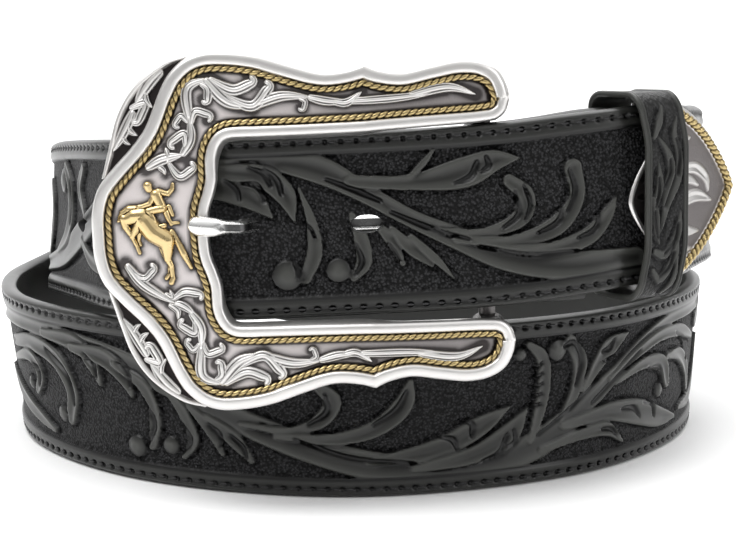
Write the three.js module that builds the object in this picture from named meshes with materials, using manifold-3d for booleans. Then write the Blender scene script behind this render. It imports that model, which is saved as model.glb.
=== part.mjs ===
// A western tooled leather belt, buckled and coiled in two turns, standing on its lower edge.
// Millimetres, +Z up. The buckle faces -Y, and the belt's tip points to +X.
import * as THREE from 'three';
import { mergeVertices } from 'three/addons/utils/BufferGeometryUtils.js';
import Module from 'manifold-3d';

const wasm = await Module();
wasm.setup();

// Strap: one length of leather, cut to a point at its tip and folded back round the heel bar
const strapWidth = 38.1;
const strapThickness = 4;
const edgeBevel = 0.7;
const coilRadius = 90;
const pointLength = 22;
const rowSpacing = 14;
const layerGap = 0.4;

// Holes: punched on the middle line, and the prong comes through the second one
const holeDiameter = 5;
const holePitch = 28;
const firstHoleFromTip = 85;
const holeCount = 4;
const usedHole = 1;

// Fold at the buckle: skived thin, slotted for the prong, and screwed down
const foldThickness = 2.4;
const skiveLength = 12;
const flapLength = 26;
const flapDroop = 3.2;
const flapCorner = 2.5;
const slotLength = 9;

// Buckle: a cast horseshoe frame with two arms and a heel bar behind their ends
const buckleLength = 87;
const buckleHeight = 74.2;
const frameThickness = 3.5;
const groundThickness = 1.9;
const windowClearance = 0.2;
const borderWidth = 2.3;
const ropeDiameter = 1.9;
const lipWidth = 2.1;
const ledgeWidth = 0.6;
const standOff = 0.9;
const buckleDrop = 0.35;
const sweepRadius = 300;
const armTilt = 8;
const wingThickness = 2.4;
const scrollHeight = 1.1;
const heelBarDiameter = 3.6;
const heelBarFromEnd = 4.6;
const lugWidth = 3.2;
const lugLength = 6.4;
const lugClearance = 1.3;
const buckleRoll = 2.2;
const partGap = 0.3;

// Prong: a flat tongue looped round the heel bar, its tip laid on the arch
const prongWidth = 3;
const prongTipWidth = 4;
const prongThickness = 2;
const prongOverlap = 4.4;
const prongLift = 0.5;
const prongRise = 1.2;
const prongLoopWall = 1.4;

// Metal tip: a thin cap over the point, with a rope edge and a braced mouth
const tipLength = 30;
const tipWall = 0.6;
const braceDepth = 3;
const tipRopeDiameter = 2.4;

// Keeper: a loose leather loop round both layers, a little askew
const keeperFromTip = 22.5;
const keeperWidth = 11.4;
const keeperThickness = 1.4;
const keeperFrontRoom = 1.9;
const keeperBackRoom = 3;
const keeperEndRoom = 0.85;
const keeperCorner = 3.4;
const keeperSkew = 3;

// Fold screws: two-part posts through the strap and its flap
const screwFromBar = 16;
const screwSpread = 20;
const screwHeadDiameter = 8;
const screwHeadThickness = 1;
const screwPostDiameter = 4;

const leatherBlack = new THREE.MeshStandardMaterial({ color: 0x1b1c1b, roughness: 0.5, metalness: 0 });
const castSilver = new THREE.MeshStandardMaterial({ color: 0xc9c6c0, roughness: 0.25, metalness: 1 });
const polishedSteel = new THREE.MeshStandardMaterial({ color: 0xe4e2de, roughness: 0.12, metalness: 1 });

// Solids: a slab is a grid with an outer and an inner skin and four closed sides
function slab(rows, columns, place) {
  const positions = [];
  for (const side of [1, -1]) {
    for (let row = 0; row < rows; row += 1) {
      for (let column = 0; column < columns; column += 1) {
        positions.push(...place(row, column, side).toArray());
      }
    }
  }
  const index = [];
  const quad = (a, b, c, d) => index.push(a, b, c, a, c, d);
  const at = (row, column, inner) => (inner ? rows * columns : 0) + row * columns + column;
  for (let row = 0; row + 1 < rows; row += 1) {
    for (let column = 0; column + 1 < columns; column += 1) {
      quad(at(row, column, false), at(row + 1, column, false),
        at(row + 1, column + 1, false), at(row, column + 1, false));
      quad(at(row, column, true), at(row, column + 1, true),
        at(row + 1, column + 1, true), at(row + 1, column, true));
    }
    const last = columns - 1;
    quad(at(row, 0, false), at(row, 0, true), at(row + 1, 0, true), at(row + 1, 0, false));
    quad(at(row, last, false), at(row + 1, last, false), at(row + 1, last, true), at(row, last, true));
  }
  for (let column = 0; column + 1 < columns; column += 1) {
    const last = rows - 1;
    quad(at(0, column, false), at(0, column + 1, false), at(0, column + 1, true), at(0, column, true));
    quad(at(last, column, false), at(last, column, true),
      at(last, column + 1, true), at(last, column + 1, false));
  }
  return meshFrom(positions, index);
}

// A closed tube of sections: each section is a ring of the same number of points
function ringSolid(sections) {
  const sides = sections[0].length;
  const positions = sections.flat().flatMap((point) => point.toArray());
  const index = [];
  for (let ring = 0; ring + 1 < sections.length; ring += 1) {
    for (let side = 0; side < sides; side += 1) {
      const next = (side + 1) % sides;
      const here = ring * sides;
      const there = here + sides;
      index.push(here + side, here + next, there + next, here + side, there + next, there + side);
    }
  }
  const end = (sections.length - 1) * sides;
  for (let side = 1; side + 1 < sides; side += 1) {
    index.push(0, side + 1, side, end, end + side, end + side + 1);
  }
  return meshFrom(positions, index);
}

function meshFrom(positions, index) {
  const geometry = new THREE.BufferGeometry();
  geometry.setAttribute('position', new THREE.Float32BufferAttribute(positions, 3));
  geometry.setIndex(index);
  return signedVolume(geometry) < 0 ? turnedOut(geometry) : geometry;
}

function signedVolume(geometry) {
  const { position } = geometry.attributes;
  const corner = [new THREE.Vector3(), new THREE.Vector3(), new THREE.Vector3()];
  let volume = 0;
  for (let i = 0; i < geometry.index.count; i += 3) {
    corner.forEach((point, k) => point.fromBufferAttribute(position, geometry.index.getX(i + k)));
    volume += corner[0].dot(corner[1].clone().cross(corner[2])) / 6;
  }
  return volume;
}

function turnedOut(geometry) {
  const flipped = [];
  for (let i = 0; i < geometry.index.count; i += 3) {
    flipped.push(geometry.index.getX(i), geometry.index.getX(i + 2), geometry.index.getX(i + 1));
  }
  geometry.setIndex(flipped);
  return geometry;
}

function solid(geometry) {
  const bare = geometry.clone();
  bare.deleteAttribute('normal');
  bare.deleteAttribute('uv');
  const merged = mergeVertices(bare, 1e-4);
  const outward = signedVolume(merged) < 0 ? turnedOut(merged) : merged;
  return new wasm.Manifold(new wasm.Mesh({
    numProp: 3,
    vertProperties: new Float32Array(outward.attributes.position.array),
    triVerts: new Uint32Array(outward.index.array),
  }));
}

function geometryOf(body) {
  const { vertProperties, triVerts } = body.getMesh();
  return meshFrom(Array.from(vertProperties), Array.from(triVerts));
}

function joined(geometries) {
  return geometries.map(solid).reduce((whole, next) => whole.add(next));
}

function node(name, geometry, material) {
  geometry.computeVertexNormals();
  const mesh = new THREE.Mesh(geometry, material);
  mesh.name = name;
  return mesh;
}

// Path of the strap's middle surface, seen from above. The turn runs in degrees from the front,
// over the left side, and grows by 360 each time round. The reach is a share of the coil's radius,
// the height of the middle line a share of the strap's width, and the lean how far the upper edge
// stands out beyond the lower one, as a share of the width.
const billetPath = [
  { turn: -45.7, reach: 1.266, height: 1.8, lean: 0 },
  { turn: -36, reach: 1.252, height: 1.78, lean: 0 },
  { turn: -26, reach: 1.232, height: 1.733, lean: 0 },
  { turn: -15.5, reach: 1.187, height: 1.673, lean: 0 },
  { turn: 5.8, reach: 1.162, height: 1.617, lean: 0 },
  { turn: 13.6, reach: 1.176, height: 1.598, lean: 0 },
  { turn: 19.3, reach: 1.163, height: 1.585, lean: 0 },
  { turn: 27.2, reach: 1.118, height: 1.57, lean: 0 },
  { turn: 36.3, reach: 1.045, height: 1.55, lean: 0 },
  { turn: 49, reach: 0.955, height: 1.52, lean: 0 },
  { turn: 64, reach: 0.906, height: 1.48, lean: -0.03 },
  { turn: 77, reach: 0.893, height: 1.43, lean: -0.05 },
  { turn: 90, reach: 0.89, height: 1.37, lean: -0.05 },
];
const coilPath = [
  { turn: 112, reach: 0.902, height: 1.23, lean: -0.04 },
  { turn: 135, reach: 0.914, height: 1.04, lean: 0 },
  { turn: 160, reach: 0.935, height: 0.81, lean: 0 },
  { turn: 180, reach: 0.952, height: 0.65, lean: 0 },
  { turn: 205, reach: 0.972, height: 0.53, lean: 0 },
  { turn: 228, reach: 0.985, height: 0.5, lean: 0 },
  { turn: 248, reach: 0.998, height: 0.501, lean: 0.03 },
  { turn: 270, reach: 1.008, height: 0.503, lean: 0.07 },
  { turn: 295, reach: 0.985, height: 0.501, lean: 0.02 },
  { turn: 325, reach: 0.975, height: 0.5, lean: 0 },
  { turn: 360, reach: 1, height: 0.501, lean: 0.02 },
  { turn: 391, reach: 1.015, height: 0.503, lean: 0.09 },
  { turn: 420, reach: 1.018, height: 0.504, lean: 0.13 },
  { turn: 446, reach: 1.014, height: 0.504, lean: 0.13 },
  { turn: 462, reach: 1.018, height: 0.53, lean: 0.1 },
  { turn: 485, reach: 1.02, height: 0.66, lean: 0.05 },
  { turn: 515, reach: 1.032, height: 0.85, lean: 0 },
  { turn: 540, reach: 1.035, height: 1.01, lean: 0 },
  { turn: 570, reach: 1.035, height: 1.21, lean: 0 },
  { turn: 600, reach: 1.025, height: 1.41, lean: 0 },
  { turn: 625, reach: 1.01, height: 1.55, lean: -0.03 },
  { turn: 645, reach: 1.02, height: 1.67, lean: -0.09 },
  { turn: 659, reach: 1.055, height: 1.724, lean: -0.09 },
  { turn: 670, reach: 1.115, height: 1.74, lean: -0.03 },
];

const up = new THREE.Vector3(0, 0, 1);

function onPath({ turn, reach, height }) {
  const angle = THREE.MathUtils.degToRad(turn);
  const radius = reach * coilRadius;
  return new THREE.Vector3(-radius * Math.sin(angle), -radius * Math.cos(angle), height * strapWidth);
}

function smoothCurve(points) {
  const curve = new THREE.CatmullRomCurve3(points, false, 'centripetal');
  curve.arcLengthDivisions = 2000;
  return curve;
}

// The billet's front stretch alone: it carries the buckle, the keeper and the buckle end behind it
const billet = smoothCurve(billetPath.map(onPath));
const billetLength = billet.getLength();

function frameAt(curve, length, distance) {
  const share = THREE.MathUtils.clamp(distance / length, 0, 1);
  const point = curve.getPointAt(share);
  const along = curve.getTangentAt(share);
  const out = up.clone().cross(along).normalize();
  const across = along.clone().cross(out).normalize();
  return { point, along, out, across };
}

function besideBillet(distance, outward, upward) {
  const { point, out } = frameAt(billet, billetLength, distance);
  return point.clone().addScaledVector(out, outward).addScaledVector(up, upward);
}

// Buckle end of the strap: it lies inside the billet, folds round the heel bar and comes back
const usedHoleFromTip = firstHoleFromTip + usedHole * holePitch;
const holeFromArch = 4.2;
const archDepth = 24.6;
const windowMiddle = usedHoleFromTip + archDepth + holeFromArch - buckleLength / 2;
const barFromMiddle = buckleLength / 2 - heelBarFromEnd;
const barFromTip = windowMiddle - barFromMiddle;
const foldRadius = heelBarDiameter / 2 + 1.5 * partGap + foldThickness / 2;
const innerFace = strapThickness / 2 + layerGap;
const behindTip = innerFace + tipWall + 2 * partGap + strapThickness / 2;
const behindBillet = innerFace + strapThickness / 2;
const barDepth = innerFace + foldThickness / 2 + foldRadius;
const flapGap = 0.6;
const flapDepth = innerFace + strapThickness + flapGap + foldThickness / 2;

const middlePose = frameAt(billet, billetLength, windowMiddle);
const buckleBack = middlePose.out.clone().negate();
const roll = THREE.MathUtils.degToRad(buckleRoll);
const level = buckleBack.clone().cross(up);
const buckleRight = level.clone().multiplyScalar(Math.cos(roll)).addScaledVector(up, Math.sin(roll));
const buckleUp = up.clone().multiplyScalar(Math.cos(roll)).addScaledVector(level, -Math.sin(roll));
const buckleOrigin = middlePose.point.clone()
  .addScaledVector(middlePose.out, strapThickness / 2 + standOff)
  .addScaledVector(up, -buckleDrop);

const heelBarCentre = besideBillet(barFromTip, -barDepth, 0);
const foldSteps = 4;
const foldPoints = [];
for (let step = 1; step < foldSteps; step += 1) {
  const angle = (Math.PI * step) / foldSteps;
  foldPoints.push(heelBarCentre.clone()
    .addScaledVector(buckleRight, -foldRadius * Math.sin(angle))
    .addScaledVector(buckleBack, -foldRadius * Math.cos(angle)));
}

const buckleEndPath = [
  besideBillet(keeperFromTip / 3, -behindTip * 1.25, -strapWidth * 0.04),
  besideBillet(keeperFromTip - keeperWidth / 2, -behindTip, -strapWidth * 0.03),
  besideBillet(keeperFromTip + keeperWidth / 2, -behindTip, -strapWidth * 0.02),
  besideBillet(tipLength + braceDepth, -behindTip, 0),
  besideBillet(barFromTip - skiveLength, -behindBillet, 0),
  besideBillet(barFromTip - skiveLength / 3, -(innerFace + foldThickness / 2), 0),
  besideBillet(barFromTip, -(innerFace + foldThickness / 2), 0),
  ...foldPoints,
  besideBillet(barFromTip, -(barDepth + foldRadius), 0),
  besideBillet(barFromTip - flapLength / 3, -(flapDepth + barDepth + foldRadius) / 2, -flapDroop * 0.5),
  besideBillet(barFromTip - flapLength * 0.7, -flapDepth, -flapDroop * 0.85),
  besideBillet(barFromTip - flapLength, -flapDepth, -flapDroop),
];

const strapCurve = smoothCurve([...billetPath, ...coilPath].map(onPath).concat(buckleEndPath));
const strapLength = strapCurve.getLength();

// Where along the whole strap the fold begins, found by its distance to the heel bar
function nearestDistance(target, from, to) {
  let best = from;
  let least = Infinity;
  const steps = 400;
  for (let step = 0; step <= steps; step += 1) {
    const distance = from + ((to - from) * step) / steps;
    const gap = strapCurve.getPointAt(distance / strapLength).distanceTo(target);
    if (gap < least) {
      least = gap;
      best = distance;
    }
  }
  return best;
}

const foldMiddle = strapLength - flapLength - (Math.PI * foldRadius) / 2;
const foldApex = foldPoints[Math.floor(foldPoints.length / 2)];
const foldAt = nearestDistance(foldApex, foldMiddle - skiveLength, foldMiddle + skiveLength);
const skiveStart = foldAt - (Math.PI * foldRadius) / 2 - skiveLength;

function thicknessAt(distance) {
  const share = THREE.MathUtils.clamp((distance - skiveStart) / (skiveLength * 0.6), 0, 1);
  return THREE.MathUtils.lerp(strapThickness, foldThickness, share);
}

// Lean of the strap at a distance, read from the two path tables by the height of their rows
const leanRows = [...billetPath, ...coilPath].map((row) => ({
  distance: nearestDistance(onPath(row), 0, strapLength),
  lean: row.lean,
}));

function leanAt(distance) {
  const next = leanRows.findIndex((row) => row.distance >= distance);
  if (next <= 0) return next === 0 ? leanRows[0].lean : 0;
  const before = leanRows[next - 1];
  const share = (distance - before.distance) / (leanRows[next].distance - before.distance);
  return THREE.MathUtils.lerp(before.lean, leanRows[next].lean, share);
}

// A point of the leather: distance from the tip, height above the middle line, and outward offset
function onStrap(distance, rise, outward) {
  const { point, along, across } = frameAt(strapCurve, strapLength, distance);
  const nearFold = THREE.MathUtils.smoothstep(distance, skiveStart - skiveLength, skiveStart + skiveLength / 2);
  const width = across.lerp(buckleUp, nearFold).normalize();
  const out = width.clone().cross(along).normalize();
  return point.clone().addScaledVector(width, rise).addScaledVector(out, outward + leanAt(distance) * rise);
}

// Outline of the point: how far back from the tip the leather starts at a given rise
function pointStart(rise, halfWidth, length) {
  const share = Math.min(1, Math.abs(rise) / halfWidth);
  return length * (1 - (1 - share ** 1.2) ** 0.6);
}

// Places across a width, closer together towards its two edges
function spread(count, half) {
  return Array.from({ length: count }, (_, i) => half * Math.sin(Math.PI * (i / (count - 1) - 0.5)));
}

function strapGeometry() {
  const half = strapWidth / 2;
  const rises = [-half, -half + edgeBevel, -half * 0.55, half * 0.55, half - edgeBevel, half];
  const tipRows = [0, 0.25, 0.5, 0.75, 1];
  const bodyStart = pointLength + 2;
  const bodyRows = Math.round((strapLength - bodyStart) / rowSpacing);
  const foldFrom = foldAt - 2 * foldRadius;
  const foldTo = foldAt + 2 * foldRadius;
  const distances = [];
  for (let row = 0; row <= bodyRows; row += 1) {
    const distance = bodyStart + ((strapLength - bodyStart) * row) / bodyRows;
    if (distance < foldFrom || distance > foldTo) distances.push(distance);
    if (distance < 2 * tipLength) distances.push(distance + rowSpacing / 3, distance + (2 * rowSpacing) / 3);
  }
  for (let row = 0; row <= 12; row += 1) distances.push(foldFrom + ((foldTo - foldFrom) * row) / 12);
  distances.sort((a, b) => a - b);
  const place = (row, column, side) => {
    const rise = rises[column];
    const bevel = half - Math.abs(rise) < edgeBevel / 2 ? edgeBevel : 0;
    const start = pointStart(rise, half, pointLength);
    const distance = row < tipRows.length
      ? start + (bodyStart - 1 - start) * tipRows[row]
      : distances[row - tipRows.length];
    const flapEnd = strapLength - flapCorner * Math.max(0, Math.abs(rise) / half - 0.5);
    const placed = Math.min(distance, flapEnd);
    return onStrap(placed, rise, side * (thicknessAt(placed) / 2 - bevel));
  };
  return slab(tipRows.length + distances.length, rises.length, place);
}

// Buckle frame: its own axes are u along it from the arch, v up from its middle line and d out of
// its back face. The arms tilt back from the crease at their cusps towards the heel bar.
const cuspShare = 0.662;

function sweepBack(u) {
  const fromMiddle = u - buckleLength / 2;
  const pastCusp = Math.max(0, u - cuspShare * buckleLength);
  return fromMiddle ** 2 / (2 * sweepRadius) + pastCusp * Math.tan(THREE.MathUtils.degToRad(armTilt));
}

function onBuckle(u, v, d) {
  return buckleOrigin.clone()
    .addScaledVector(buckleRight, u - buckleLength / 2)
    .addScaledVector(buckleUp, v)
    .addScaledVector(buckleBack, sweepBack(u) - d);
}

function toBuckle(point) {
  const offset = point.clone().sub(buckleOrigin);
  return {
    u: offset.dot(buckleRight) + buckleLength / 2,
    v: offset.dot(buckleUp),
    back: offset.dot(buckleBack),
  };
}

// Upper half of the horseshoe from the middle of the arch to the end of the arm. Along is a share
// of the buckle's length, rise a share of its half height, and inner rise one of the half window.
const frameOutline = [
  { outerAlong: 0, outerRise: 0, innerAlong: 0.283, innerRise: 0 },
  { outerAlong: 0.003, outerRise: 0.136, innerAlong: 0.286, innerRise: 0.228 },
  { outerAlong: 0.021, outerRise: 0.266, innerAlong: 0.299, innerRise: 0.404 },
  { outerAlong: 0.064, outerRise: 0.386, innerAlong: 0.308, innerRise: 0.56 },
  { outerAlong: 0.11, outerRise: 0.495, innerAlong: 0.309, innerRise: 0.694 },
  { outerAlong: 0.141, outerRise: 0.587, innerAlong: 0.31, innerRise: 0.793 },
  { outerAlong: 0.161, outerRise: 0.68, innerAlong: 0.315, innerRise: 0.876 },
  { outerAlong: 0.179, outerRise: 0.777, innerAlong: 0.322, innerRise: 0.933 },
  { outerAlong: 0.205, outerRise: 0.88, innerAlong: 0.331, innerRise: 0.974 },
  { outerAlong: 0.244, outerRise: 0.96, innerAlong: 0.345, innerRise: 0.995 },
  { outerAlong: 0.287, outerRise: 0.995, innerAlong: 0.368, innerRise: 1 },
  { outerAlong: 0.345, outerRise: 0.995, innerAlong: 0.402, innerRise: 1 },
  { outerAlong: 0.414, outerRise: 0.97, innerAlong: 0.443, innerRise: 1 },
  { outerAlong: 0.494, outerRise: 0.91, innerAlong: 0.5, innerRise: 1 },
  { outerAlong: 0.563, outerRise: 0.867, innerAlong: 0.563, innerRise: 1.003 },
  { outerAlong: 0.621, outerRise: 0.875, innerAlong: 0.621, innerRise: 1.006 },
  { outerAlong: 0.662, outerRise: 0.9, innerAlong: 0.662, innerRise: 1.01 },
  { outerAlong: 0.692, outerRise: 0.87, innerAlong: 0.692, innerRise: 1.018 },
  { outerAlong: 0.747, outerRise: 0.85, innerAlong: 0.747, innerRise: 1.028 },
  { outerAlong: 0.816, outerRise: 0.878, innerAlong: 0.816, innerRise: 1.04 },
  { outerAlong: 0.885, outerRise: 0.902, innerAlong: 0.885, innerRise: 1.05 },
  { outerAlong: 0.938, outerRise: 0.886, innerAlong: 0.931, innerRise: 1.06 },
  { outerAlong: 0.976, outerRise: 0.832, innerAlong: 0.968, innerRise: 1.085 },
  { outerAlong: 0.995, outerRise: 0.75, innerAlong: 0.991, innerRise: 1.17 },
  { outerAlong: 1, outerRise: 0.696, innerAlong: 0.999, innerRise: 1.275 },
];
const halfWindow = strapWidth / 2 + windowClearance;
const halfHeight = buckleHeight / 2;

function outlineEdges(row, sign) {
  return {
    outer: new THREE.Vector2(row.outerAlong * buckleLength, sign * row.outerRise * halfHeight),
    inner: new THREE.Vector2(row.innerAlong * buckleLength, sign * row.innerRise * halfWindow),
  };
}

// Section of the frame: a rounded border, a rope, the sunk ground, a rope and a polished lip
function frameSection({ outer, inner }) {
  const width = outer.distanceTo(inner);
  const fit = Math.min(1, width / (2 * (borderWidth + ropeDiameter + lipWidth)));
  const border = borderWidth * fit;
  const rope = ropeDiameter * fit;
  const lip = lipWidth * fit;
  const ropeTop = groundThickness + ropeDiameter * 0.6;
  const ledge = ledgeWidth * THREE.MathUtils.smoothstep(Math.abs(inner.y), 0.6 * halfWindow, 0.9 * halfWindow)
    * (1 - THREE.MathUtils.smoothstep(inner.x, 0.62 * buckleLength, 0.74 * buckleLength));
  const profile = [
    [0.6 * fit, 0],
    [0, 1],
    [border * 0.25, frameThickness - 0.5],
    [border * 0.6, frameThickness],
    [border, frameThickness - 0.7],
    [border + rope * 0.1, groundThickness],
    [border + rope * 0.5, ropeTop],
    [border + rope, groundThickness],
    [width - lip - rope, groundThickness],
    [width - lip - rope * 0.5, ropeTop],
    [width - lip - rope * 0.1, groundThickness],
    [width - lip, frameThickness - 0.8],
    [width - lip * 0.4, frameThickness - 0.3],
    [width + ledge, 1],
    [width + ledge - 0.6 * fit, 0],
  ];
  return profile.map(([across, height]) => {
    const place = outer.clone().lerp(inner, across / width);
    return onBuckle(place.x, place.y, height);
  });
}

function horseshoe() {
  const upper = frameOutline.slice(1).reverse().map((row) => outlineEdges(row, 1));
  const lower = frameOutline.map((row) => outlineEdges(row, -1));
  return ringSolid([...upper, ...lower].map(frameSection));
}

// Wings: low leaf-shaped plates on the outside of the border, at the horseshoe's two corners
const wingOutline = [
  { along: 0.03, rise: 0.315 },
  { along: 0.037, rise: 0.37 },
  { along: 0.057, rise: 0.53 },
  { along: 0.073, rise: 0.645 },
  { along: 0.095, rise: 0.742 },
  { along: 0.12, rise: 0.817 },
  { along: 0.148, rise: 0.875 },
  { along: 0.177, rise: 0.922 },
  { along: 0.206, rise: 0.957 },
  { along: 0.25, rise: 0.982 },
  { along: 0.25, rise: 0.91 },
  { along: 0.192, rise: 0.78 },
  { along: 0.158, rise: 0.62 },
  { along: 0.115, rise: 0.475 },
  { along: 0.06, rise: 0.35 },
];

function buckleWing(outline, from, to, sign) {
  const shape = new THREE.Shape(outline.map(({ along, rise }) => new THREE.Vector2(
    along * buckleLength, sign * rise * halfHeight)));
  const flat = new THREE.ExtrudeGeometry(shape, { depth: to - from, bevelEnabled: false });
  return onBuckleSurface(flat, from);
}

// Moves a flat shape, drawn in u and v and extruded from height 0, onto the buckle's swept surface
function onBuckleSurface(flat, base) {
  const bare = flat.clone();
  bare.deleteAttribute('normal');
  bare.deleteAttribute('uv');
  const merged = mergeVertices(bare, 1e-4);
  const { position } = merged.attributes;
  const placed = [];
  for (let i = 0; i < position.count; i += 1) {
    placed.push(...onBuckle(position.getX(i), position.getY(i), base + position.getZ(i)).toArray());
  }
  return meshFrom(placed, Array.from(merged.index.array));
}

// Cast scrollwork: each stroke is a tapered rib through three places, given as shares of the buckle's
// length and half height. Most strokes stand in both halves; the roots differ, to leave the rider room.
const scrolls = [
  { name: 'root leaf', from: [0.14, 0.368], bend: [0.179, 0.414], to: [0.233, 0.439], half: 'upper' },
  { name: 'root tail', from: [0.195, 0.4], bend: [0.222, 0.321], to: [0.252, 0.357], half: 'upper' },
  { name: 'root', from: [0.079, 0.157], bend: [0.118, 0.271], to: [0.196, 0.388], half: 'lower' },
  { name: 'root lobe', from: [0.085, 0.187], bend: [0.122, 0.241], to: [0.146, 0.197], half: 'lower' },
  { name: 'root leaf', from: [0.187, 0.364], bend: [0.217, 0.321], to: [0.252, 0.33], half: 'lower' },
  { name: 'root bridge', from: [0.19, 0.38], bend: [0.215, 0.402], to: [0.24, 0.45], half: 'lower' },
  { name: 'lower stem', from: [0.233, 0.439], bend: [0.252, 0.525], to: [0.25, 0.647], half: 'both' },
  { name: 'upper stem', from: [0.25, 0.635], bend: [0.25, 0.8], to: [0.296, 0.847], half: 'both' },
  { name: 'curl', from: [0.238, 0.449], bend: [0.238, 0.552], to: [0.207, 0.515], half: 'both' },
  { name: 'side leaf', from: [0.254, 0.615], bend: [0.266, 0.671], to: [0.296, 0.659], half: 'both' },
  { name: 'hook', from: [0.277, 0.83], bend: [0.297, 0.8], to: [0.297, 0.735], half: 'both' },
  { name: 'long leaf', from: [0.295, 0.853], bend: [0.341, 0.72], to: [0.4, 0.68], half: 'both' },
  { name: 'upper lobe', from: [0.305, 0.845], bend: [0.358, 0.781], to: [0.397, 0.819], half: 'both' },
  { name: 'lower lobe', from: [0.336, 0.767], bend: [0.401, 0.684], to: [0.441, 0.789], half: 'both' },
  { name: 'arm stem', from: [0.388, 0.68], bend: [0.468, 0.738], to: [0.54, 0.722], half: 'both' },
  { name: 'cusp stem', from: [0.53, 0.725], bend: [0.585, 0.697], to: [0.655, 0.742], half: 'both' },
  { name: 'arm leaf', from: [0.623, 0.687], bend: [0.749, 0.707], to: [0.834, 0.732], half: 'both' },
  { name: 'leaf tip', from: [0.815, 0.725], bend: [0.885, 0.746], to: [0.916, 0.704], half: 'both' },
  { name: 'wing leaf', from: [0.178, 0.876], bend: [0.154, 0.821], to: [0.126, 0.727], half: 'both' },
  { name: 'wing curl', from: [0.109, 0.709], bend: [0.14, 0.71], to: [0.125, 0.637], half: 'both' },
  { name: 'wing base', from: [0.105, 0.658], bend: [0.088, 0.569], to: [0.063, 0.472], half: 'both' },
];
const scrollSteps = 4;
const scrollWidth = 1.9;

function scrollRib({ name, from, bend, to }, sign) {
  const onWing = name.startsWith('wing');
  const foot = (onWing ? wingThickness : groundThickness) - 0.5;
  const [start, middle, end] = [from, bend, to].map(([along, rise]) => (
    new THREE.Vector2(along * buckleLength, sign * rise * halfHeight)));
  const pull = middle.multiplyScalar(2).addScaledVector(start, -0.5).addScaledVector(end, -0.5);
  const line = new THREE.QuadraticBezierCurve(start, pull, end);
  const sections = [];
  for (let i = 0; i <= scrollSteps; i += 1) {
    const share = i / scrollSteps;
    const place = line.getPoint(share);
    const along = line.getTangent(share);
    const fullness = Math.sin(Math.PI * (0.12 + 0.8 * share)) ** 0.8;
    const half = scrollWidth * (onWing ? 0.4 : 0.5) * fullness;
    const crest = foot + 0.6 + scrollHeight * fullness;
    sections.push([[-half, foot], [-half * 0.4, crest], [half * 0.4, crest], [half, foot]]
      .map(([offset, height]) => onBuckle(
        place.x - along.y * offset, place.y + along.x * offset, height)));
  }
  return ringSolid(sections);
}

// Bucking horse and rider on the arch, each limb a tapered low mound. Places are shares of the
// buckle's length and half height, girths shares of the buckle's length, bulk the height out.
const riderLimbs = [
  { name: 'rider head', a1: 0.146, r1: 0.275, g1: 0.0087, a2: 0.147, r2: 0.256, g2: 0.0072, bulk: 1.5 },
  { name: 'torso', a1: 0.161, r1: 0.223, g1: 0.0113, a2: 0.174, r2: 0.161, g2: 0.01, bulk: 1.6 },
  { name: 'raised arm', a1: 0.166, r1: 0.247, g1: 0.0054, a2: 0.19, r2: 0.234, g2: 0.0044, bulk: 1.2 },
  { name: 'raised hand', a1: 0.19, r1: 0.234, g1: 0.0044, a2: 0.205, r2: 0.28, g2: 0.003, bulk: 1.1 },
  { name: 'rein arm', a1: 0.157, r1: 0.215, g1: 0.005, a2: 0.145, r2: 0.18, g2: 0.0044, bulk: 1.6 },
  { name: 'rein hand', a1: 0.145, r1: 0.18, g1: 0.0044, a2: 0.122, r2: 0.161, g2: 0.003, bulk: 1.6 },
  { name: 'thigh', a1: 0.176, r1: 0.15, g1: 0.008, a2: 0.139, r2: 0.136, g2: 0.0066, bulk: 1.9 },
  { name: 'shin', a1: 0.139, r1: 0.133, g1: 0.006, a2: 0.153, r2: 0.06, g2: 0.0044, bulk: 1.9 },
  { name: 'boot', a1: 0.153, r1: 0.055, g1: 0.0044, a2: 0.143, r2: 0.05, g2: 0.0035, bulk: 1.9 },
  { name: 'barrel', a1: 0.131, r1: 0.084, g1: 0.022, a2: 0.152, r2: 0.011, g2: 0.0228, bulk: 1.5 },
  { name: 'haunch', a1: 0.152, r1: 0.011, g1: 0.0228, a2: 0.177, r2: -0.027, g2: 0.02, bulk: 1.5 },
  { name: 'neck', a1: 0.122, r1: 0.111, g1: 0.019, a2: 0.093, r2: 0.098, g2: 0.0154, bulk: 1.4 },
  { name: 'crest', a1: 0.114, r1: 0.152, g1: 0.011, a2: 0.078, r2: 0.139, g2: 0.009, bulk: 1.2 },
  { name: 'horse head', a1: 0.078, r1: 0.087, g1: 0.011, a2: 0.091, r2: 0.019, g2: 0.006, bulk: 1.4 },
  { name: 'foreleg', a1: 0.115, r1: 0.052, g1: 0.01, a2: 0.097, r2: -0.011, g2: 0.0054, bulk: 1.2 },
  { name: 'fore hoof', a1: 0.097, r1: -0.011, g1: 0.0047, a2: 0.115, r2: -0.103, g2: 0.0035, bulk: 1 },
  { name: 'hind leg', a1: 0.183, r1: -0.027, g1: 0.0163, a2: 0.183, r2: -0.114, g2: 0.008, bulk: 1.4 },
  { name: 'cannon', a1: 0.184, r1: -0.114, g1: 0.007, a2: 0.189, r2: -0.25, g2: 0.005, bulk: 1.2 },
  { name: 'tail', a1: 0.193, r1: 0.011, g1: 0.0054, a2: 0.214, r2: -0.079, g2: 0.0072, bulk: 1 },
  { name: 'tail end', a1: 0.214, r1: -0.079, g1: 0.0072, a2: 0.24, r2: -0.18, g2: 0.004, bulk: 0.9 },
];

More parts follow.
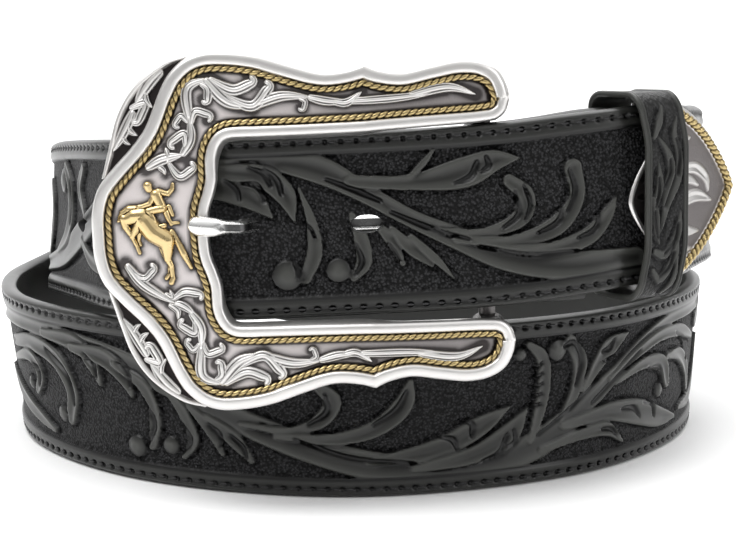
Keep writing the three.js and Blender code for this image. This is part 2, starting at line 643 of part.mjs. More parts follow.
function limbMound(limb) {
  const start = new THREE.Vector2(limb.a1 * buckleLength, limb.r1 * halfHeight);
  const end = new THREE.Vector2(limb.a2 * buckleLength, limb.r2 * halfHeight);
  const along = end.clone().sub(start).normalize();
  const side = new THREE.Vector2(-along.y, along.x);
  const stations = [
    { share: 0, beyond: -limb.g1, girth: 0.3 * limb.g1 },
    { share: 0, beyond: 0, girth: limb.g1 },
    { share: 1, beyond: 0, girth: limb.g2 },
    { share: 1, beyond: limb.g2, girth: 0.3 * limb.g2 },
  ];
  const foot = groundThickness - 0.4;
  return ringSolid(stations.map(({ share, beyond, girth }) => {
    const centre = start.clone().lerp(end, share).addScaledVector(along, beyond * buckleLength);
    const half = girth * buckleLength;
    const crest = groundThickness + limb.bulk * Math.min(1, 0.35 + half / 1.2);
    return [
      [-half, foot],
      [-half * 0.5, crest],
      [half * 0.5, crest],
      [half, foot],
    ].map(([offset, height]) => onBuckle(centre.x + side.x * offset, centre.y + side.y * offset, height));
  }));
}

// Heel bar and the two lugs that carry it behind the ends of the arms
const barPlace = toBuckle(heelBarCentre);

function heelParts() {
  const inner = halfWindow + lugClearance;
  const behindBar = barPlace.back + heelBarDiameter / 2 + 0.4;
  const half = lugLength / 2;
  const parts = [1, -1].map((sign) => {
    const corners = (u, back) => [
      buckleAt(u, sign * inner, back),
      buckleAt(u, sign * (inner + lugWidth), back),
    ];
    const slice = (back, length) => [
      ...corners(barPlace.u - length, back),
      ...corners(barPlace.u + length, back).reverse(),
    ];
    const armBack = sweepBack(barPlace.u - half) - 0.8;
    return ringSolid([slice(armBack, half), slice(barPlace.back - 1, half), slice(behindBar, half * 0.6)]);
  });
  const bar = new THREE.CylinderGeometry(
    heelBarDiameter / 2, heelBarDiameter / 2, 2 * (inner + lugWidth / 2), 12);
  parts.push(onBuckleAxes(bar, barPlace.u, 0, barPlace.back));
  return parts;
}

function buckleAt(u, v, back) {
  return buckleOrigin.clone()
    .addScaledVector(buckleRight, u - buckleLength / 2)
    .addScaledVector(buckleUp, v)
    .addScaledVector(buckleBack, back);
}

// Turns a shape whose own Y is the buckle's height onto the buckle's axes at a place
function onBuckleAxes(geometry, u, v, back) {
  const axes = new THREE.Matrix4().makeBasis(buckleRight, buckleUp, buckleBack.clone().negate());
  axes.setPosition(buckleAt(u, v, back));
  return geometry.clone().applyMatrix4(axes);
}

function buckleGeometry() {
  const wings = [1, -1].map((sign) => buckleWing(wingOutline, 0.3, wingThickness, sign));
  const inHalf = (wanted) => scrolls.filter(({ half }) => half === wanted || half === 'both');
  const ribs = [
    ...inHalf('upper').map((stroke) => scrollRib(stroke, 1)),
    ...inHalf('lower').map((stroke) => scrollRib(stroke, -1)),
  ];
  const relief = riderLimbs.map(limbMound);
  return geometryOf(joined([horseshoe(), ...wings, ...heelParts(), ...ribs, ...relief]));
}

// Prong: it loops the heel bar, runs behind the billet and comes out through the used hole.
// Along runs from the heel bar to the arch, and the depth is of the tongue's middle.
const archLip = sweepBack(archDepth) - frameThickness;
const tipDepth = archLip - partGap - prongThickness / 2;

function billetDepth(u) {
  const distance = windowMiddle - (u - buckleLength / 2);
  return toBuckle(besideBillet(distance, 0, 0)).back;
}

const shankDepth = strapThickness / 2 + 2 * partGap + prongThickness / 2;
const loopRadius = heelBarDiameter / 2 + partGap + prongLoopWall / 2;
const holeU = archDepth + holeFromArch;

function prongPoints() {
  const shank = [0.8, 0.6, 0.42, 0.28].map((share) => {
    const u = THREE.MathUtils.lerp(holeU, barPlace.u, share);
    return { u, v: buckleDrop, back: billetDepth(u) + shankDepth };
  });
  const rest = buckleDrop + prongLift;
  return [
    ...shank,
    { u: holeU + 6.5, v: rest, back: billetDepth(holeU + 6.5) + shankDepth },
    { u: holeU + 3.5, v: rest, back: billetDepth(holeU) + shankDepth * 0.45 },
    { u: holeU, v: rest + prongRise * 0.2, back: billetDepth(holeU) - shankDepth * 0.7 },
    { u: archDepth + 0.8, v: rest + prongRise * 0.6, back: tipDepth + 0.1 },
    { u: archDepth - 1.5, v: rest + prongRise * 0.8, back: tipDepth },
    { u: archDepth - prongOverlap, v: rest + prongRise, back: tipDepth + 0.2 },
  ];
}

function prongSections(room) {
  const points = prongPoints().map(({ u, v, back }) => new THREE.Vector3(u, v, back));
  const curve = smoothCurve(points);
  const rows = 18;
  const sections = [];
  for (let row = 0; row <= rows; row += 1) {
    const share = row / rows;
    const place = curve.getPointAt(share);
    const along = curve.getTangentAt(share);
    const normal = new THREE.Vector3(along.z, 0, -along.x).normalize();
    const widening = THREE.MathUtils.smoothstep(share, 0.7, 0.92);
    const rounding = share === 1 ? 0.5 : 1;
    const half = rounding * THREE.MathUtils.lerp(prongWidth, prongTipWidth, widening) / 2 + room;
    const thick = prongThickness / 2 + room;
    const section = [
      [-half, -thick], [-half, thick * 0.2], [-half * 0.55, thick],
      [half * 0.55, thick], [half, thick * 0.2], [half, -thick],
    ];
    sections.push(section.map(([v, offset]) => buckleAt(
      place.x + normal.x * offset, place.y + v, place.z + normal.z * offset)));
  }
  return ringSolid(sections);
}

function prongLoop() {
  const outer = loopRadius + prongLoopWall / 2;
  const inner = loopRadius - prongLoopWall / 2;
  const shape = new THREE.Shape().absarc(0, 0, outer, 0, 2 * Math.PI);
  shape.holes.push(new THREE.Path().absarc(0, 0, inner, 0, 2 * Math.PI));
  const ring = new THREE.ExtrudeGeometry(shape, { depth: prongWidth, bevelEnabled: false, curveSegments: 8 });
  ring.translate(0, 0, -prongWidth / 2).rotateX(-Math.PI / 2);
  return onBuckleAxes(ring, barPlace.u, 0, barPlace.back);
}

function prongGeometry() {
  const heel = new THREE.Vector3(barPlace.u, 0, barPlace.back);
  const first = prongPoints()[0];
  const joinFrom = new THREE.Vector3(first.u, 0, first.back);
  const reach = joinFrom.clone().sub(heel).normalize();
  const root = heel.clone().addScaledVector(reach, loopRadius);
  const side = new THREE.Vector3(reach.z, 0, -reach.x);
  const half = prongWidth / 2;
  const thick = prongLoopWall / 2;
  const slice = (place) => [[-half, -thick], [-half, thick], [half, thick], [half, -thick]]
    .map(([v, offset]) => buckleAt(place.x + side.x * offset, v + buckleDrop / 2, place.z + side.z * offset));
  const neckEnd = joinFrom.clone().addScaledVector(reach, prongThickness);
  const neck = ringSolid([slice(root), slice(neckEnd)]);
  return geometryOf(joined([prongSections(0), prongLoop(), neck]));
}

// Holes and the slot are cut from the strap, the used hole to the prong's own shape with room
function holePunch(number) {
  const distance = firstHoleFromTip + number * holePitch;
  const { point, along, out, across } = frameAt(strapCurve, strapLength, distance);
  const punch = new THREE.CylinderGeometry(
    holeDiameter / 2, holeDiameter / 2, strapThickness * 1.6, 12).rotateX(Math.PI / 2);
  const axes = new THREE.Matrix4().makeBasis(along.negate(), across, out).setPosition(point);
  return punch.applyMatrix4(axes);
}

function foldSlot() {
  const outer = loopRadius + prongLoopWall / 2;
  const front = billetDepth(barPlace.u) + strapThickness / 2 + layerGap / 2;
  const depth = 2 * (barPlace.back - front) + foldThickness;
  const box = new THREE.BoxGeometry(2 * slotLength, prongWidth + 1.4, depth);
  return onBuckleAxes(box, barPlace.u - slotLength + outer + 1.5, 0, front + depth / 2);
}

// Fold screws sit flush in the strap's outer face and stand proud on the flap's inner face
const screwFromTip = barFromTip - screwFromBar;
const screwSink = innerFace + partGap;
const flapBack = flapDepth + foldThickness / 2 + 1.2;

function screwSolids(rise, room) {
  const { out, across, along } = frameAt(billet, billetLength, screwFromTip);
  const left = along.negate();
  const cylinder = (radius, from, to) => {
    const body = new THREE.CylinderGeometry(radius + room, radius + room, to - from + 2 * room, 12);
    body.rotateX(Math.PI / 2);
    const place = besideBillet(screwFromTip, -(from + to) / 2, rise);
    const axes = new THREE.Matrix4().makeBasis(left, across, out).setPosition(place);
    return body.applyMatrix4(axes);
  };
  const head = screwHeadDiameter / 2;
  return [
    cylinder(head, screwSink, screwSink + screwHeadThickness),
    cylinder(screwPostDiameter / 2, screwSink + screwHeadThickness * 0.5, flapBack + 0.5),
    cylinder(head, flapBack, flapBack + screwHeadThickness),
  ];
}

function strapNode() {
  let leather = solid(strapGeometry());
  for (let number = 0; number < holeCount; number += 1) {
    if (number !== usedHole) leather = leather.subtract(solid(holePunch(number)));
  }
  leather = leather.subtract(solid(prongSections(0.45))).subtract(solid(foldSlot()));
  for (const sign of [1, -1]) {
    leather = leather.subtract(joined(screwSolids((sign * screwSpread) / 2, partGap)));
  }
  return node('strap', geometryOf(leather), leatherBlack);
}

// Metal tip: the cap is the point's outline grown by its wall, less the leather and its gap
function tipShell(wall, mouthExtra, height) {
  const half = strapWidth / 2 + wall;
  const rises = spread(13, half);
  const rows = [0, 0.2, 0.4, 0.6, 0.8, 1];
  return slab(rows.length, rises.length, (row, column, side) => {
    const rise = rises[column];
    const start = pointStart(rise, half, pointLength + wall) - wall;
    const bow = Math.cos((Math.PI * rise) / half);
    const mouth = tipLength - braceDepth * (0.5 - 0.5 * bow) ** 0.7 + mouthExtra;
    const distance = start + (mouth - start) * rows[row];
    const { point, out, across } = frameAt(billet, billetLength, Math.max(distance, 0));
    const beyond = Math.min(distance, 0);
    const { along } = frameAt(billet, billetLength, 0);
    return point.clone().addScaledVector(across, rise)
      .addScaledVector(out, side * (strapThickness / 2 + height))
      .addScaledVector(along, beyond);
  });
}

function tipRope() {
  const half = strapWidth / 2 + partGap + tipWall - tipRopeDiameter / 2;
  const rises = spread(19, half);
  const points = rises.map((rise) => {
    const start = pointStart(rise, half * 1.001, pointLength) + tipRopeDiameter * 0.35;
    const { point, out, across } = frameAt(billet, billetLength, start);
    return point.clone().addScaledVector(across, rise)
      .addScaledVector(out, strapThickness / 2 + partGap + tipWall);
  });
  const { along, across, out } = frameAt(billet, billetLength, pointLength * 1.5);
  const lower = points[0].clone().addScaledVector(along, tipLength - pointLength - braceDepth - 3);
  const upper = points[points.length - 1].clone()
    .addScaledVector(along, tipLength - pointLength - braceDepth - 3);
  const path = smoothCurve([lower, ...points, upper]);
  const sections = [];
  const rows = 26;
  for (let row = 0; row <= rows; row += 1) {
    const centre = path.getPointAt(row / rows);
    const tangent = path.getTangentAt(row / rows);
    const side = tangent.clone().cross(out).normalize();
    const radius = tipRopeDiameter / 2;
    const ring = [];
    for (let k = 0; k < 6; k += 1) {
      const angle = (k * Math.PI) / 3;
      ring.push(centre.clone().addScaledVector(side, radius * Math.cos(angle))
        .addScaledVector(out, radius * 0.6 * Math.sin(angle)));
    }
    sections.push(ring);
  }
  return ringSolid(sections);
}

function tipNode() {
  const shell = solid(tipShell(tipWall + partGap, 0, partGap + tipWall));
  const room = solid(tipShell(partGap, 4, partGap));
  const cap = shell.add(solid(tipRope())).subtract(room);
  return node('metal_tip', geometryOf(cap), castSilver);
}

// Keeper: a rounded rectangular loop, its inside clear of the metal tip and both leather layers
function keeperNode() {
  const front = strapThickness / 2 + partGap + tipWall + keeperFrontRoom;
  const back = behindTip + strapThickness / 2 + keeperBackRoom;
  const halfInner = strapWidth / 2 + partGap + tipWall + keeperEndRoom;
  const { out, across, along } = frameAt(billet, billetLength, keeperFromTip);
  const middle = besideBillet(keeperFromTip, (front - back) / 2, -0.2);
  const rectangle = (grow) => {
    const x = (front + back) / 2 + grow;
    const y = halfInner + grow;
    const r = keeperCorner + grow;
    const outline = new THREE.Shape();
    outline.moveTo(-x + r, -y).lineTo(x - r, -y).absarc(x - r, -y + r, r, -Math.PI / 2, 0);
    outline.lineTo(x, y - r).absarc(x - r, y - r, r, 0, Math.PI / 2);
    outline.lineTo(-x + r, y).absarc(-x + r, y - r, r, Math.PI / 2, Math.PI);
    outline.lineTo(-x, -y + r).absarc(-x + r, -y + r, r, Math.PI, 1.5 * Math.PI);
    return outline;
  };
  const shape = rectangle(keeperThickness);
  shape.holes.push(rectangle(0));
  const loop = new THREE.ExtrudeGeometry(
    shape, { depth: keeperWidth, bevelEnabled: false, curveSegments: 5 });
  loop.translate(0, 0, -keeperWidth / 2);
  const axes = new THREE.Matrix4().makeBasis(out, across, along);
  loop.applyMatrix4(new THREE.Matrix4().makeRotationX(THREE.MathUtils.degToRad(-keeperSkew)));
  loop.applyMatrix4(axes.setPosition(middle));
  return node('keeper', geometryOf(solid(loop)), leatherBlack);
}

const belt = new THREE.Group();
belt.add(strapNode());
belt.add(tipNode());
belt.add(keeperNode());
belt.add(node('buckle_frame', buckleGeometry(), castSilver));
belt.add(node('prong', prongGeometry(), polishedSteel));
belt.add(node('fold_screw_upper', geometryOf(joined(screwSolids(screwSpread / 2, 0))), polishedSteel));
belt.add(node('fold_screw_lower', geometryOf(joined(screwSolids(-screwSpread / 2, 0))), polishedSteel));

// The origin is under the middle of the whole belt, on the surface that it stands on
const extent = new THREE.Box3().setFromObject(belt);
const centre = extent.getCenter(new THREE.Vector3());
belt.position.set(-centre.x, -centre.y, -extent.min.z);

export default belt;
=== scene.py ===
# A western belt, fastened and standing in its own coil on a pale studio floor.
import math

import bpy
import numpy as np
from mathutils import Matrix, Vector


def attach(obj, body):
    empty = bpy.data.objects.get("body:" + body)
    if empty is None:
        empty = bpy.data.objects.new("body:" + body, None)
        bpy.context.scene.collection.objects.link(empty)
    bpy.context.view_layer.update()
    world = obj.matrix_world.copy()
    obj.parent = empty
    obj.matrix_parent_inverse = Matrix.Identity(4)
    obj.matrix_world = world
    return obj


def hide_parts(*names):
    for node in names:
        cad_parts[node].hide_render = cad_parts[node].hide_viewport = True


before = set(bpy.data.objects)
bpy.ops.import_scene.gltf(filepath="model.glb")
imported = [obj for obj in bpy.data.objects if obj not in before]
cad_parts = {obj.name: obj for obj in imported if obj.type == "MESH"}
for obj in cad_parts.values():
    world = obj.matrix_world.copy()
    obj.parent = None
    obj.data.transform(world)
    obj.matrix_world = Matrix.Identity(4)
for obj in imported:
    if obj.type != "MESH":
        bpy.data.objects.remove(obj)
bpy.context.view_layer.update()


# Strap: one length of black leather, 38 mm wide. From the pointed billet it runs back through the
# buckle, twice round the coil, and returns inside the billet to fold round the buckle's heel bar.
# Lengths are in millimetres. Distances along the strap start at the point of the billet.
strap_width = 38.1
strap_thickness = 4.0
coil_radius = 90.0
upright = np.array([0.0, 0.0, 1.0])
# The middle of the coil, from the frame's origin at the middle of the belt's base
belt_place = np.array([0.8866, 8.2262, 0.0495])

# Turn in degrees round the coil, reach as a share of its radius, height of the strap's middle
# line as a share of its width, and the lean of the upper edge outwards
billet_path = [
    (-45.7, 1.266, 1.8, 0), (-36, 1.252, 1.78, 0), (-26, 1.232, 1.733, 0), (-15.5, 1.187, 1.673, 0),
    (5.8, 1.162, 1.617, 0), (13.6, 1.176, 1.598, 0), (19.3, 1.163, 1.585, 0), (27.2, 1.118, 1.57, 0),
    (36.3, 1.045, 1.55, 0), (49, 0.955, 1.52, 0), (64, 0.906, 1.48, -0.03), (77, 0.893, 1.43, -0.05),
    (90, 0.89, 1.37, -0.05),
]
coil_path = [
    (112, 0.902, 1.23, -0.04), (135, 0.914, 1.04, 0), (160, 0.935, 0.81, 0), (180, 0.952, 0.65, 0),
    (205, 0.972, 0.53, 0), (228, 0.985, 0.5, 0), (248, 0.998, 0.501, 0.03), (270, 1.008, 0.503, 0.07),
    (295, 0.985, 0.501, 0.02), (325, 0.975, 0.5, 0), (360, 1, 0.501, 0.02), (391, 1.015, 0.503, 0.09),
    (420, 1.018, 0.504, 0.13), (446, 1.014, 0.504, 0.13), (462, 1.018, 0.53, 0.1),
    (485, 1.02, 0.66, 0.05),
    (515, 1.032, 0.85, 0), (540, 1.035, 1.01, 0), (570, 1.035, 1.21, 0), (600, 1.025, 1.41, 0),
    (625, 1.01, 1.55, -0.03), (645, 1.02, 1.67, -0.09), (659, 1.055, 1.724, -0.09),
    (670, 1.115, 1.74, -0.03),
]


def coil_point(row):
    """The place of the strap's middle line for one row of its path."""
    turn, reach, height, _ = row
    angle = math.radians(turn)
    radius = reach * coil_radius
    return np.array([-radius * math.sin(angle), -radius * math.cos(angle), height * strap_width])


def bent_line(points, steps=120):
    """A smooth line through the points, with the distance along it at each of its places."""
    points = np.array(points, float)
    points = np.vstack([2 * points[0] - points[1], points, 2 * points[-1] - points[-2]])
    share = np.linspace(0, 1, steps, endpoint=False)[:, None]
    pieces = []
    for a, b, c, d in zip(points, points[1:], points[2:], points[3:]):
        ab, bc, cd = (np.linalg.norm(q - p) ** 0.5 for p, q in ((a, b), (b, c), (c, d)))
        leave = ((b - a) / ab - (c - a) / (ab + bc) + (c - b) / bc) * bc
        arrive = ((c - b) / bc - (d - b) / (bc + cd) + (d - c) / cd) * bc
        bulge = 3 * (c - b) - 2 * leave - arrive
        twist = 2 * (b - c) + leave + arrive
        pieces.append(b + leave * share + bulge * share ** 2 + twist * share ** 3)
    line = np.vstack(pieces + [points[-2][None]])
    steps_along = np.linalg.norm(np.diff(line, axis=0), axis=1)
    return line, np.concatenate([[0], np.cumsum(steps_along)])


def line_frame(bent, distance):
    """Point, direction, outward and width directions of an upright strap at the distances."""
    line, lengths = bent
    distance = np.clip(np.asarray(distance, float), 0, lengths[-1])
    def at(place):
        return np.stack([np.interp(place, lengths, line[:, k]) for k in range(3)], -1)
    along = at(np.minimum(distance + 0.05, lengths[-1])) - at(np.maximum(distance - 0.05, 0))
    along /= np.linalg.norm(along, axis=-1, keepdims=True)
    out = np.cross(upright, along)
    out /= np.linalg.norm(out, axis=-1, keepdims=True)
    across = np.cross(along, out)
    return at(distance), along, out, across


billet = bent_line([coil_point(row) for row in billet_path])


def beside_billet(distance, outward, upward):
    """A place beside the billet's middle line, offset outwards and upwards."""
    point, _, out, _ = line_frame(billet, distance)
    return point + out * outward + upright * upward


# Where the buckle sits on the billet, and the strap's folded end behind it
buckle_length = 87.0
arch_depth = 24.6
hole_from_tip = 113.0
hole_from_arch = 4.2
bar_from_arm_end = 4.6
bar_radius = 1.8
stand_off = 0.9
buckle_drop = 0.35
buckle_roll = math.radians(2.2)
layer_gap = 0.4
part_gap = 0.3
fold_thickness = 2.4
skive_length = 12.0
flap_length = 26.0
flap_droop = 3.2
flap_corner = 2.5
flap_gap = 0.6
tip_length = 30.0
tip_wall = 0.6
brace_depth = 3.0
keeper_from_tip = 22.5
keeper_width = 11.4

window_middle = hole_from_tip + arch_depth + hole_from_arch - buckle_length / 2
bar_from_tip = window_middle - (buckle_length / 2 - bar_from_arm_end)
fold_radius = bar_radius + 1.5 * part_gap + fold_thickness / 2
inner_face = strap_thickness / 2 + layer_gap
behind_tip = inner_face + tip_wall + 2 * part_gap + strap_thickness / 2
behind_billet = inner_face + strap_thickness / 2
folded_face = inner_face + fold_thickness / 2
bar_depth = folded_face + fold_radius
flap_depth = folded_face + strap_thickness + flap_gap

middle_point, _, middle_out, _ = line_frame(billet, window_middle)
buckle_back = -middle_out
level = np.cross(buckle_back, upright)
buckle_right = level * math.cos(buckle_roll) + upright * math.sin(buckle_roll)
buckle_up = upright * math.cos(buckle_roll) - level * math.sin(buckle_roll)
buckle_origin = middle_point + middle_out * (strap_thickness / 2 + stand_off) - upright * buckle_drop
heel_bar = beside_billet(bar_from_tip, -bar_depth, 0)
fold_bend = [
    heel_bar - buckle_right * fold_radius * math.sin(angle) - buckle_back * fold_radius * math.cos(angle)
    for angle in (math.pi / 4, math.pi / 2, 3 * math.pi / 4)
]
buckle_end = [
    beside_billet(keeper_from_tip / 3, -behind_tip * 1.25, -strap_width * 0.04),
    beside_billet(keeper_from_tip - keeper_width / 2, -behind_tip, -strap_width * 0.03),
    beside_billet(keeper_from_tip + keeper_width / 2, -behind_tip, -strap_width * 0.02),
    beside_billet(tip_length + brace_depth, -behind_tip, 0),
    beside_billet(bar_from_tip - skive_length, -behind_billet, 0),
    beside_billet(bar_from_tip - skive_length / 3, -folded_face, 0),
    beside_billet(bar_from_tip, -folded_face, 0),
    *fold_bend,
    beside_billet(bar_from_tip, -(bar_depth + fold_radius), 0),
    beside_billet(bar_from_tip - flap_length / 3, -(flap_depth + bar_depth + fold_radius) / 2,
                  -flap_droop / 2),
    beside_billet(bar_from_tip - flap_length * 0.7, -flap_depth, -flap_droop * 0.85),
    beside_billet(bar_from_tip - flap_length, -flap_depth, -flap_droop),
]
path_rows = billet_path + coil_path
strap_line = bent_line([coil_point(row) for row in path_rows] + buckle_end)
strap_length = strap_line[1][-1]


def place_along(target):
    """How far along the strap its middle line comes closest to a point."""
    return strap_line[1][np.argmin(np.linalg.norm(strap_line[0] - target, axis=1))]


lean_places = [place_along(coil_point(row)) for row in path_rows]
leans = [row[3] for row in path_rows]
skive_start = place_along(fold_bend[1]) - math.pi * fold_radius / 2 - skive_length


def eased(low, high, value):
    """0 below the low end, 1 above the high one, and a soft step between them."""
    share = np.clip((value - low) / (high - low), 0, 1)
    return share * share * (3 - 2 * share)


def on_strap(distance, rise, outward):
    """A place of the leather, from its distance, height above the middle line and offset outwards."""
    distance, rise, outward = np.broadcast_arrays(np.asarray(distance, float), rise, outward)
    point, along, _, across = line_frame(strap_line, distance)
    near_fold = eased(-skive_length, skive_length / 2, distance - skive_start)[..., None]
    width = across * (1 - near_fold) + buckle_up * near_fold
    width /= np.linalg.norm(width, axis=-1, keepdims=True)
    out = np.cross(width, along)
    out /= np.linalg.norm(out, axis=-1, keepdims=True)
    lean = np.interp(distance, lean_places, leans)
    return point + width * rise[..., None] + out * (outward + lean * rise)[..., None]


# Carving of the outer face: a wavy main stem with acanthus leaves that end in curls, cut down
# round their outlines, with a matted ground. Each stroke runs through (distance, rise, half width),
# and one with only two places is a berry.
billet_strokes = [
    [(116, 12.5, 2.5), (104, 13.6, 2.2), (94, 11.5, 3), (86, 7, 2.3), (76, 0.8, 2), (66, -4.2, 2.6),
     (56, -9, 3.2), (45, -12, 3.2), (28, -13, 2.4)],
    [(116, 9, 2.6), (109.5, 7.4, 3), (104.3, 2.3, 0.4)],
    [(114, 12, 1.6), (106, 10.8, 2.4), (101.5, 7, 2.4), (99.8, 1.4, 0.4)],
    [(98.5, 8, 0.4), (96.3, 1, 1.2), (96, -5.5, 1.8), (98.2, -10.6, 1.5)],
    [(101.9, -10, 3.3), (101.8, -10.1, 3.2)],
    [(88, 2, 0.8), (86.2, -3.5, 1.7), (86, -8, 1.8), (88.2, -11, 1)],
    [(91.3, -9.4, 2.7), (91.2, -9.5, 2.6)],
    [(84, 1, 0.6), (80.2, -3.5, 1.4), (78, -8.6, 0.7)],
    [(80, -1, 0.6), (76.2, -5.4, 1.5), (72, -9.2, 0.6)],
    [(76, -3, 0.7), (71.2, -8, 1), (67.6, -12.4, 0.3)],
    [(88, 9, 1.4), (76, 8.2, 1.8), (64, 9.6, 3.4), (58, 11.4, 2.4), (52.3, 11.4, 0.3)],
    [(76, 9.4, 0.5), (73, 11.8, 0.9), (70.4, 14.8, 0.4)],
    [(72, -2, 0.6), (60, -3.2, 1.3), (53, -0.6, 2.1), (51.8, 3.6, 2), (55, 7, 1.5)],
    [(67, -4.2, 0.7), (55, -5.6, 1.5), (46, -3.6, 2.3), (41.2, 1.6, 1.8), (41.4, 8, 2)],
    [(58, -7, 0.8), (48, -8.2, 1.5), (39, -6.6, 2.1), (34, -2, 1.4), (32.4, 0.6, 0.3)],
    [(226, -12, 2), (206, -11, 2.4), (190, -9, 3), (174, -4, 3.4), (160, 1, 3.2), (146, 8, 2.6),
     (130, 12, 2.2)],
    [(196, -8, 0.8), (186, -4, 1.8), (180, 2, 2.5), (180, 8.4, 2.4), (184, 12.6, 1.6)],
    [(188.6, 9.4, 3.1), (188.5, 9.5, 3)],
    [(212, -9, 1), (206, -3, 1.8), (203, 3, 1.8), (206, 9, 1.4)],
    [(170, -4, 0.8), (162, -8.5, 1.8), (150, -9.5, 2), (140, -6, 1.8), (136, 0, 1)],
    [(166, 2, 0.8), (170, 8, 1.6), (166, 12.6, 1.2)],
]
coil_strokes = [
    [(786, 9, 2.2), (770, 12.5, 2.4), (745, 13.2, 2.2), (722, 12, 2.6), (700, 8.4, 3), (684, 2.4, 3),
     (668, -4, 3.2), (655, -8.6, 3.4), (642, -12, 3.4), (622, -13, 3), (609, -11.6, 3.6),
     (598, -7.4, 3.8),
     (589, -1.6, 3), (580, 3.6, 2.2), (569, 9.6, 1.8), (556, 13, 1.8), (530, 14, 1.8)],
    [(750, 7, 1.6), (736, 8.4, 2.4), (725, 5.8, 2.6), (719.8, -1, 2.4), (721.4, -7.6, 2)],
    [(725.4, -7.4, 2.2), (725.3, -7.5, 2.1)],
    [(752, 2.4, 1), (739, 4.6, 1.8), (734.4, 0.8, 1.9), (737, -3.4, 1.4)],
    [(741.4, -2.4, 1.8), (741.3, -2.5, 1.7)],
    [(762, -2, 1.2), (750, -7, 2.2), (738, -10.4, 1.8), (730, -12.4, 0.8)],
    [(730, 12, 1.2), (716, 11, 2.2), (711, 7, 2), (708.6, 2.6, 0.7)],
    [(718, 10, 1.2), (706, 8.6, 2.4), (700.6, 4.4, 1.8), (699, 0.8, 0.5)],
    [(704, 8, 0.8), (695.6, 3.4, 1.6), (693, -4, 1.7), (694.2, -10, 1.4)],
    [(699, -11, 2.7), (698.9, -11.1, 2.6)],
    [(690, 4, 0.8), (685.4, -2, 1.5), (683.6, -8, 1.6), (685.8, -11.6, 1)],
    [(689.4, -9.6, 2.3), (689.3, -9.7, 2.2)],
    [(684, 0, 0.8), (678.6, -5.4, 1.7), (676.4, -10.4, 0.6)],
    [(680, -2, 0.9), (673.4, -7, 1.9), (669.6, -11.6, 0.7)],
    [(672, -3, 0.6), (660, -4, 1.2), (653.6, -1, 2), (651.8, 3, 2.1), (655, 6.2, 1.3)],
    [(664, -5.4, 0.8), (650, -5.6, 1.6), (641.6, -3, 2.2), (636.4, 1.8, 2.4), (635, 6.6, 1)],
    [(644, -11, 0.9), (628, -8.6, 2.6), (618.6, -4.4, 2.6), (611.2, -0.4, 0.3)],
    [(634, -13, 0.9), (620, -10.8, 2.2), (611.6, -7, 2.9), (606.8, -1.2, 0.3)],
    [(606, -9, 0.9), (603.8, -3, 1.7), (602.4, 4, 1.9), (603, 10, 1.8), (606.6, 13.2, 1)],
    [(608.6, 11, 1.7), (608.5, 11.1, 1.6)],
    [(598, -5, 0.8), (593.4, 1.6, 1.8), (592.2, 8, 2.3), (595.2, 13, 1.7)],
    [(598.6, 11.2, 2.7), (598.5, 11.3, 2.6)],
    [(591, 1, 0.9), (586.4, 6.8, 2), (582.6, 10, 2.6), (575.6, 12.8, 0.3)],
    [(582, 2.4, 0.9), (572, 6.8, 1.5), (560, 9.8, 1.7), (546, 9, 1.8), (536, 6, 1)],
    [(580, 1.4, 0.8), (567, 4.2, 1.7), (557.6, 1.8, 2.4), (555.6, -2.6, 1.6)],
    [(559.6, -4, 2), (559.5, -4.1, 1.9)],
    [(597, -6.6, 1), (581, -5.6, 2.6), (569, -7.8, 3.4), (560, -10.6, 2.8), (550, -12.4, 0.8)],
    [(603, -11.6, 0.9), (591, -9.4, 1.5), (582.4, -9.6, 1.8), (577, -13.4, 0.5)],
    [(556, 4, 0.9), (547, 3, 1.9), (540, -2, 2), (538, -8, 1.2)],
    [(546, -11, 0.9), (534, -10, 2.2), (526, -4, 2.2), (524, 4, 0.8)],
]
# Cuts in the leaves: a start, a bend and an end, each with its half width
billet_cuts = [
    [(66.5, 7.4, 0.15), (63, 8.6, 0.5), (61.6, 11.4, 0.3)],
    [(60.8, 9.4, 0.15), (59, 10.4, 0.45), (59.6, 12.4, 0.2)],
    [(110, 9.6, 0.15), (107, 9, 0.5), (105.8, 5.6, 0.25)],
    [(105.4, 12.4, 0.15), (103, 10, 0.5), (102.2, 7, 0.25)],
    [(113.4, 10.2, 0.1), (111.4, 8.4, 0.35), (110.8, 6.2, 0.2)],
    [(108.6, 12.8, 0.1), (105.6, 11.4, 0.4), (104.4, 8.8, 0.2)],
    [(100.4, -7.4, 0.2), (99.6, -8.8, 0.4), (99.9, -10.6, 0.15)],
    [(98.6, 1.6, 0.1), (96.6, -0.4, 0.2), (95.8, -2.4, 0.1)],
    [(57, -2.6, 0.15), (53.6, 0, 0.45), (54, 4.6, 0.2)],
    [(52.4, -1.6, 0.1), (50.9, 1.6, 0.3), (52, 5.8, 0.1)],
    [(50, -4.6, 0.15), (45.6, -2.8, 0.45), (44.6, -0.6, 0.2)],
    [(43.4, -1, 0.15), (41.4, 3.2, 0.4), (42.2, 7.6, 0.2)],
    [(41.6, -6.8, 0.15), (37.6, -5.4, 0.4), (36.6, -2.6, 0.2)],
    [(87.4, -4, 0.1), (86.4, -7.8, 0.4), (87.8, -10.4, 0.2)],
    [(80.8, -4.2, 0.1), (79.6, -6, 0.3), (78.4, -8, 0.1)],
    [(93, 9.6, 0.2), (86.6, 6.8, 0.4), (82, 4.6, 0.2)],
    [(80, 2.2, 0.2), (72, -1.6, 0.4), (64, -4.4, 0.2)],
    [(62, -6, 0.2), (52, -8.8, 0.3), (42, -9.4, 0.2)],
    [(182, -1, 0.15), (178.8, 4, 0.5), (180.4, 9.6, 0.2)],
    [(186.4, 12, 0.15), (184.4, 9.6, 0.4), (186, 7.4, 0.15)],
    [(168, -0.4, 0.2), (156, 4, 0.4), (146, 8.6, 0.2)],
]
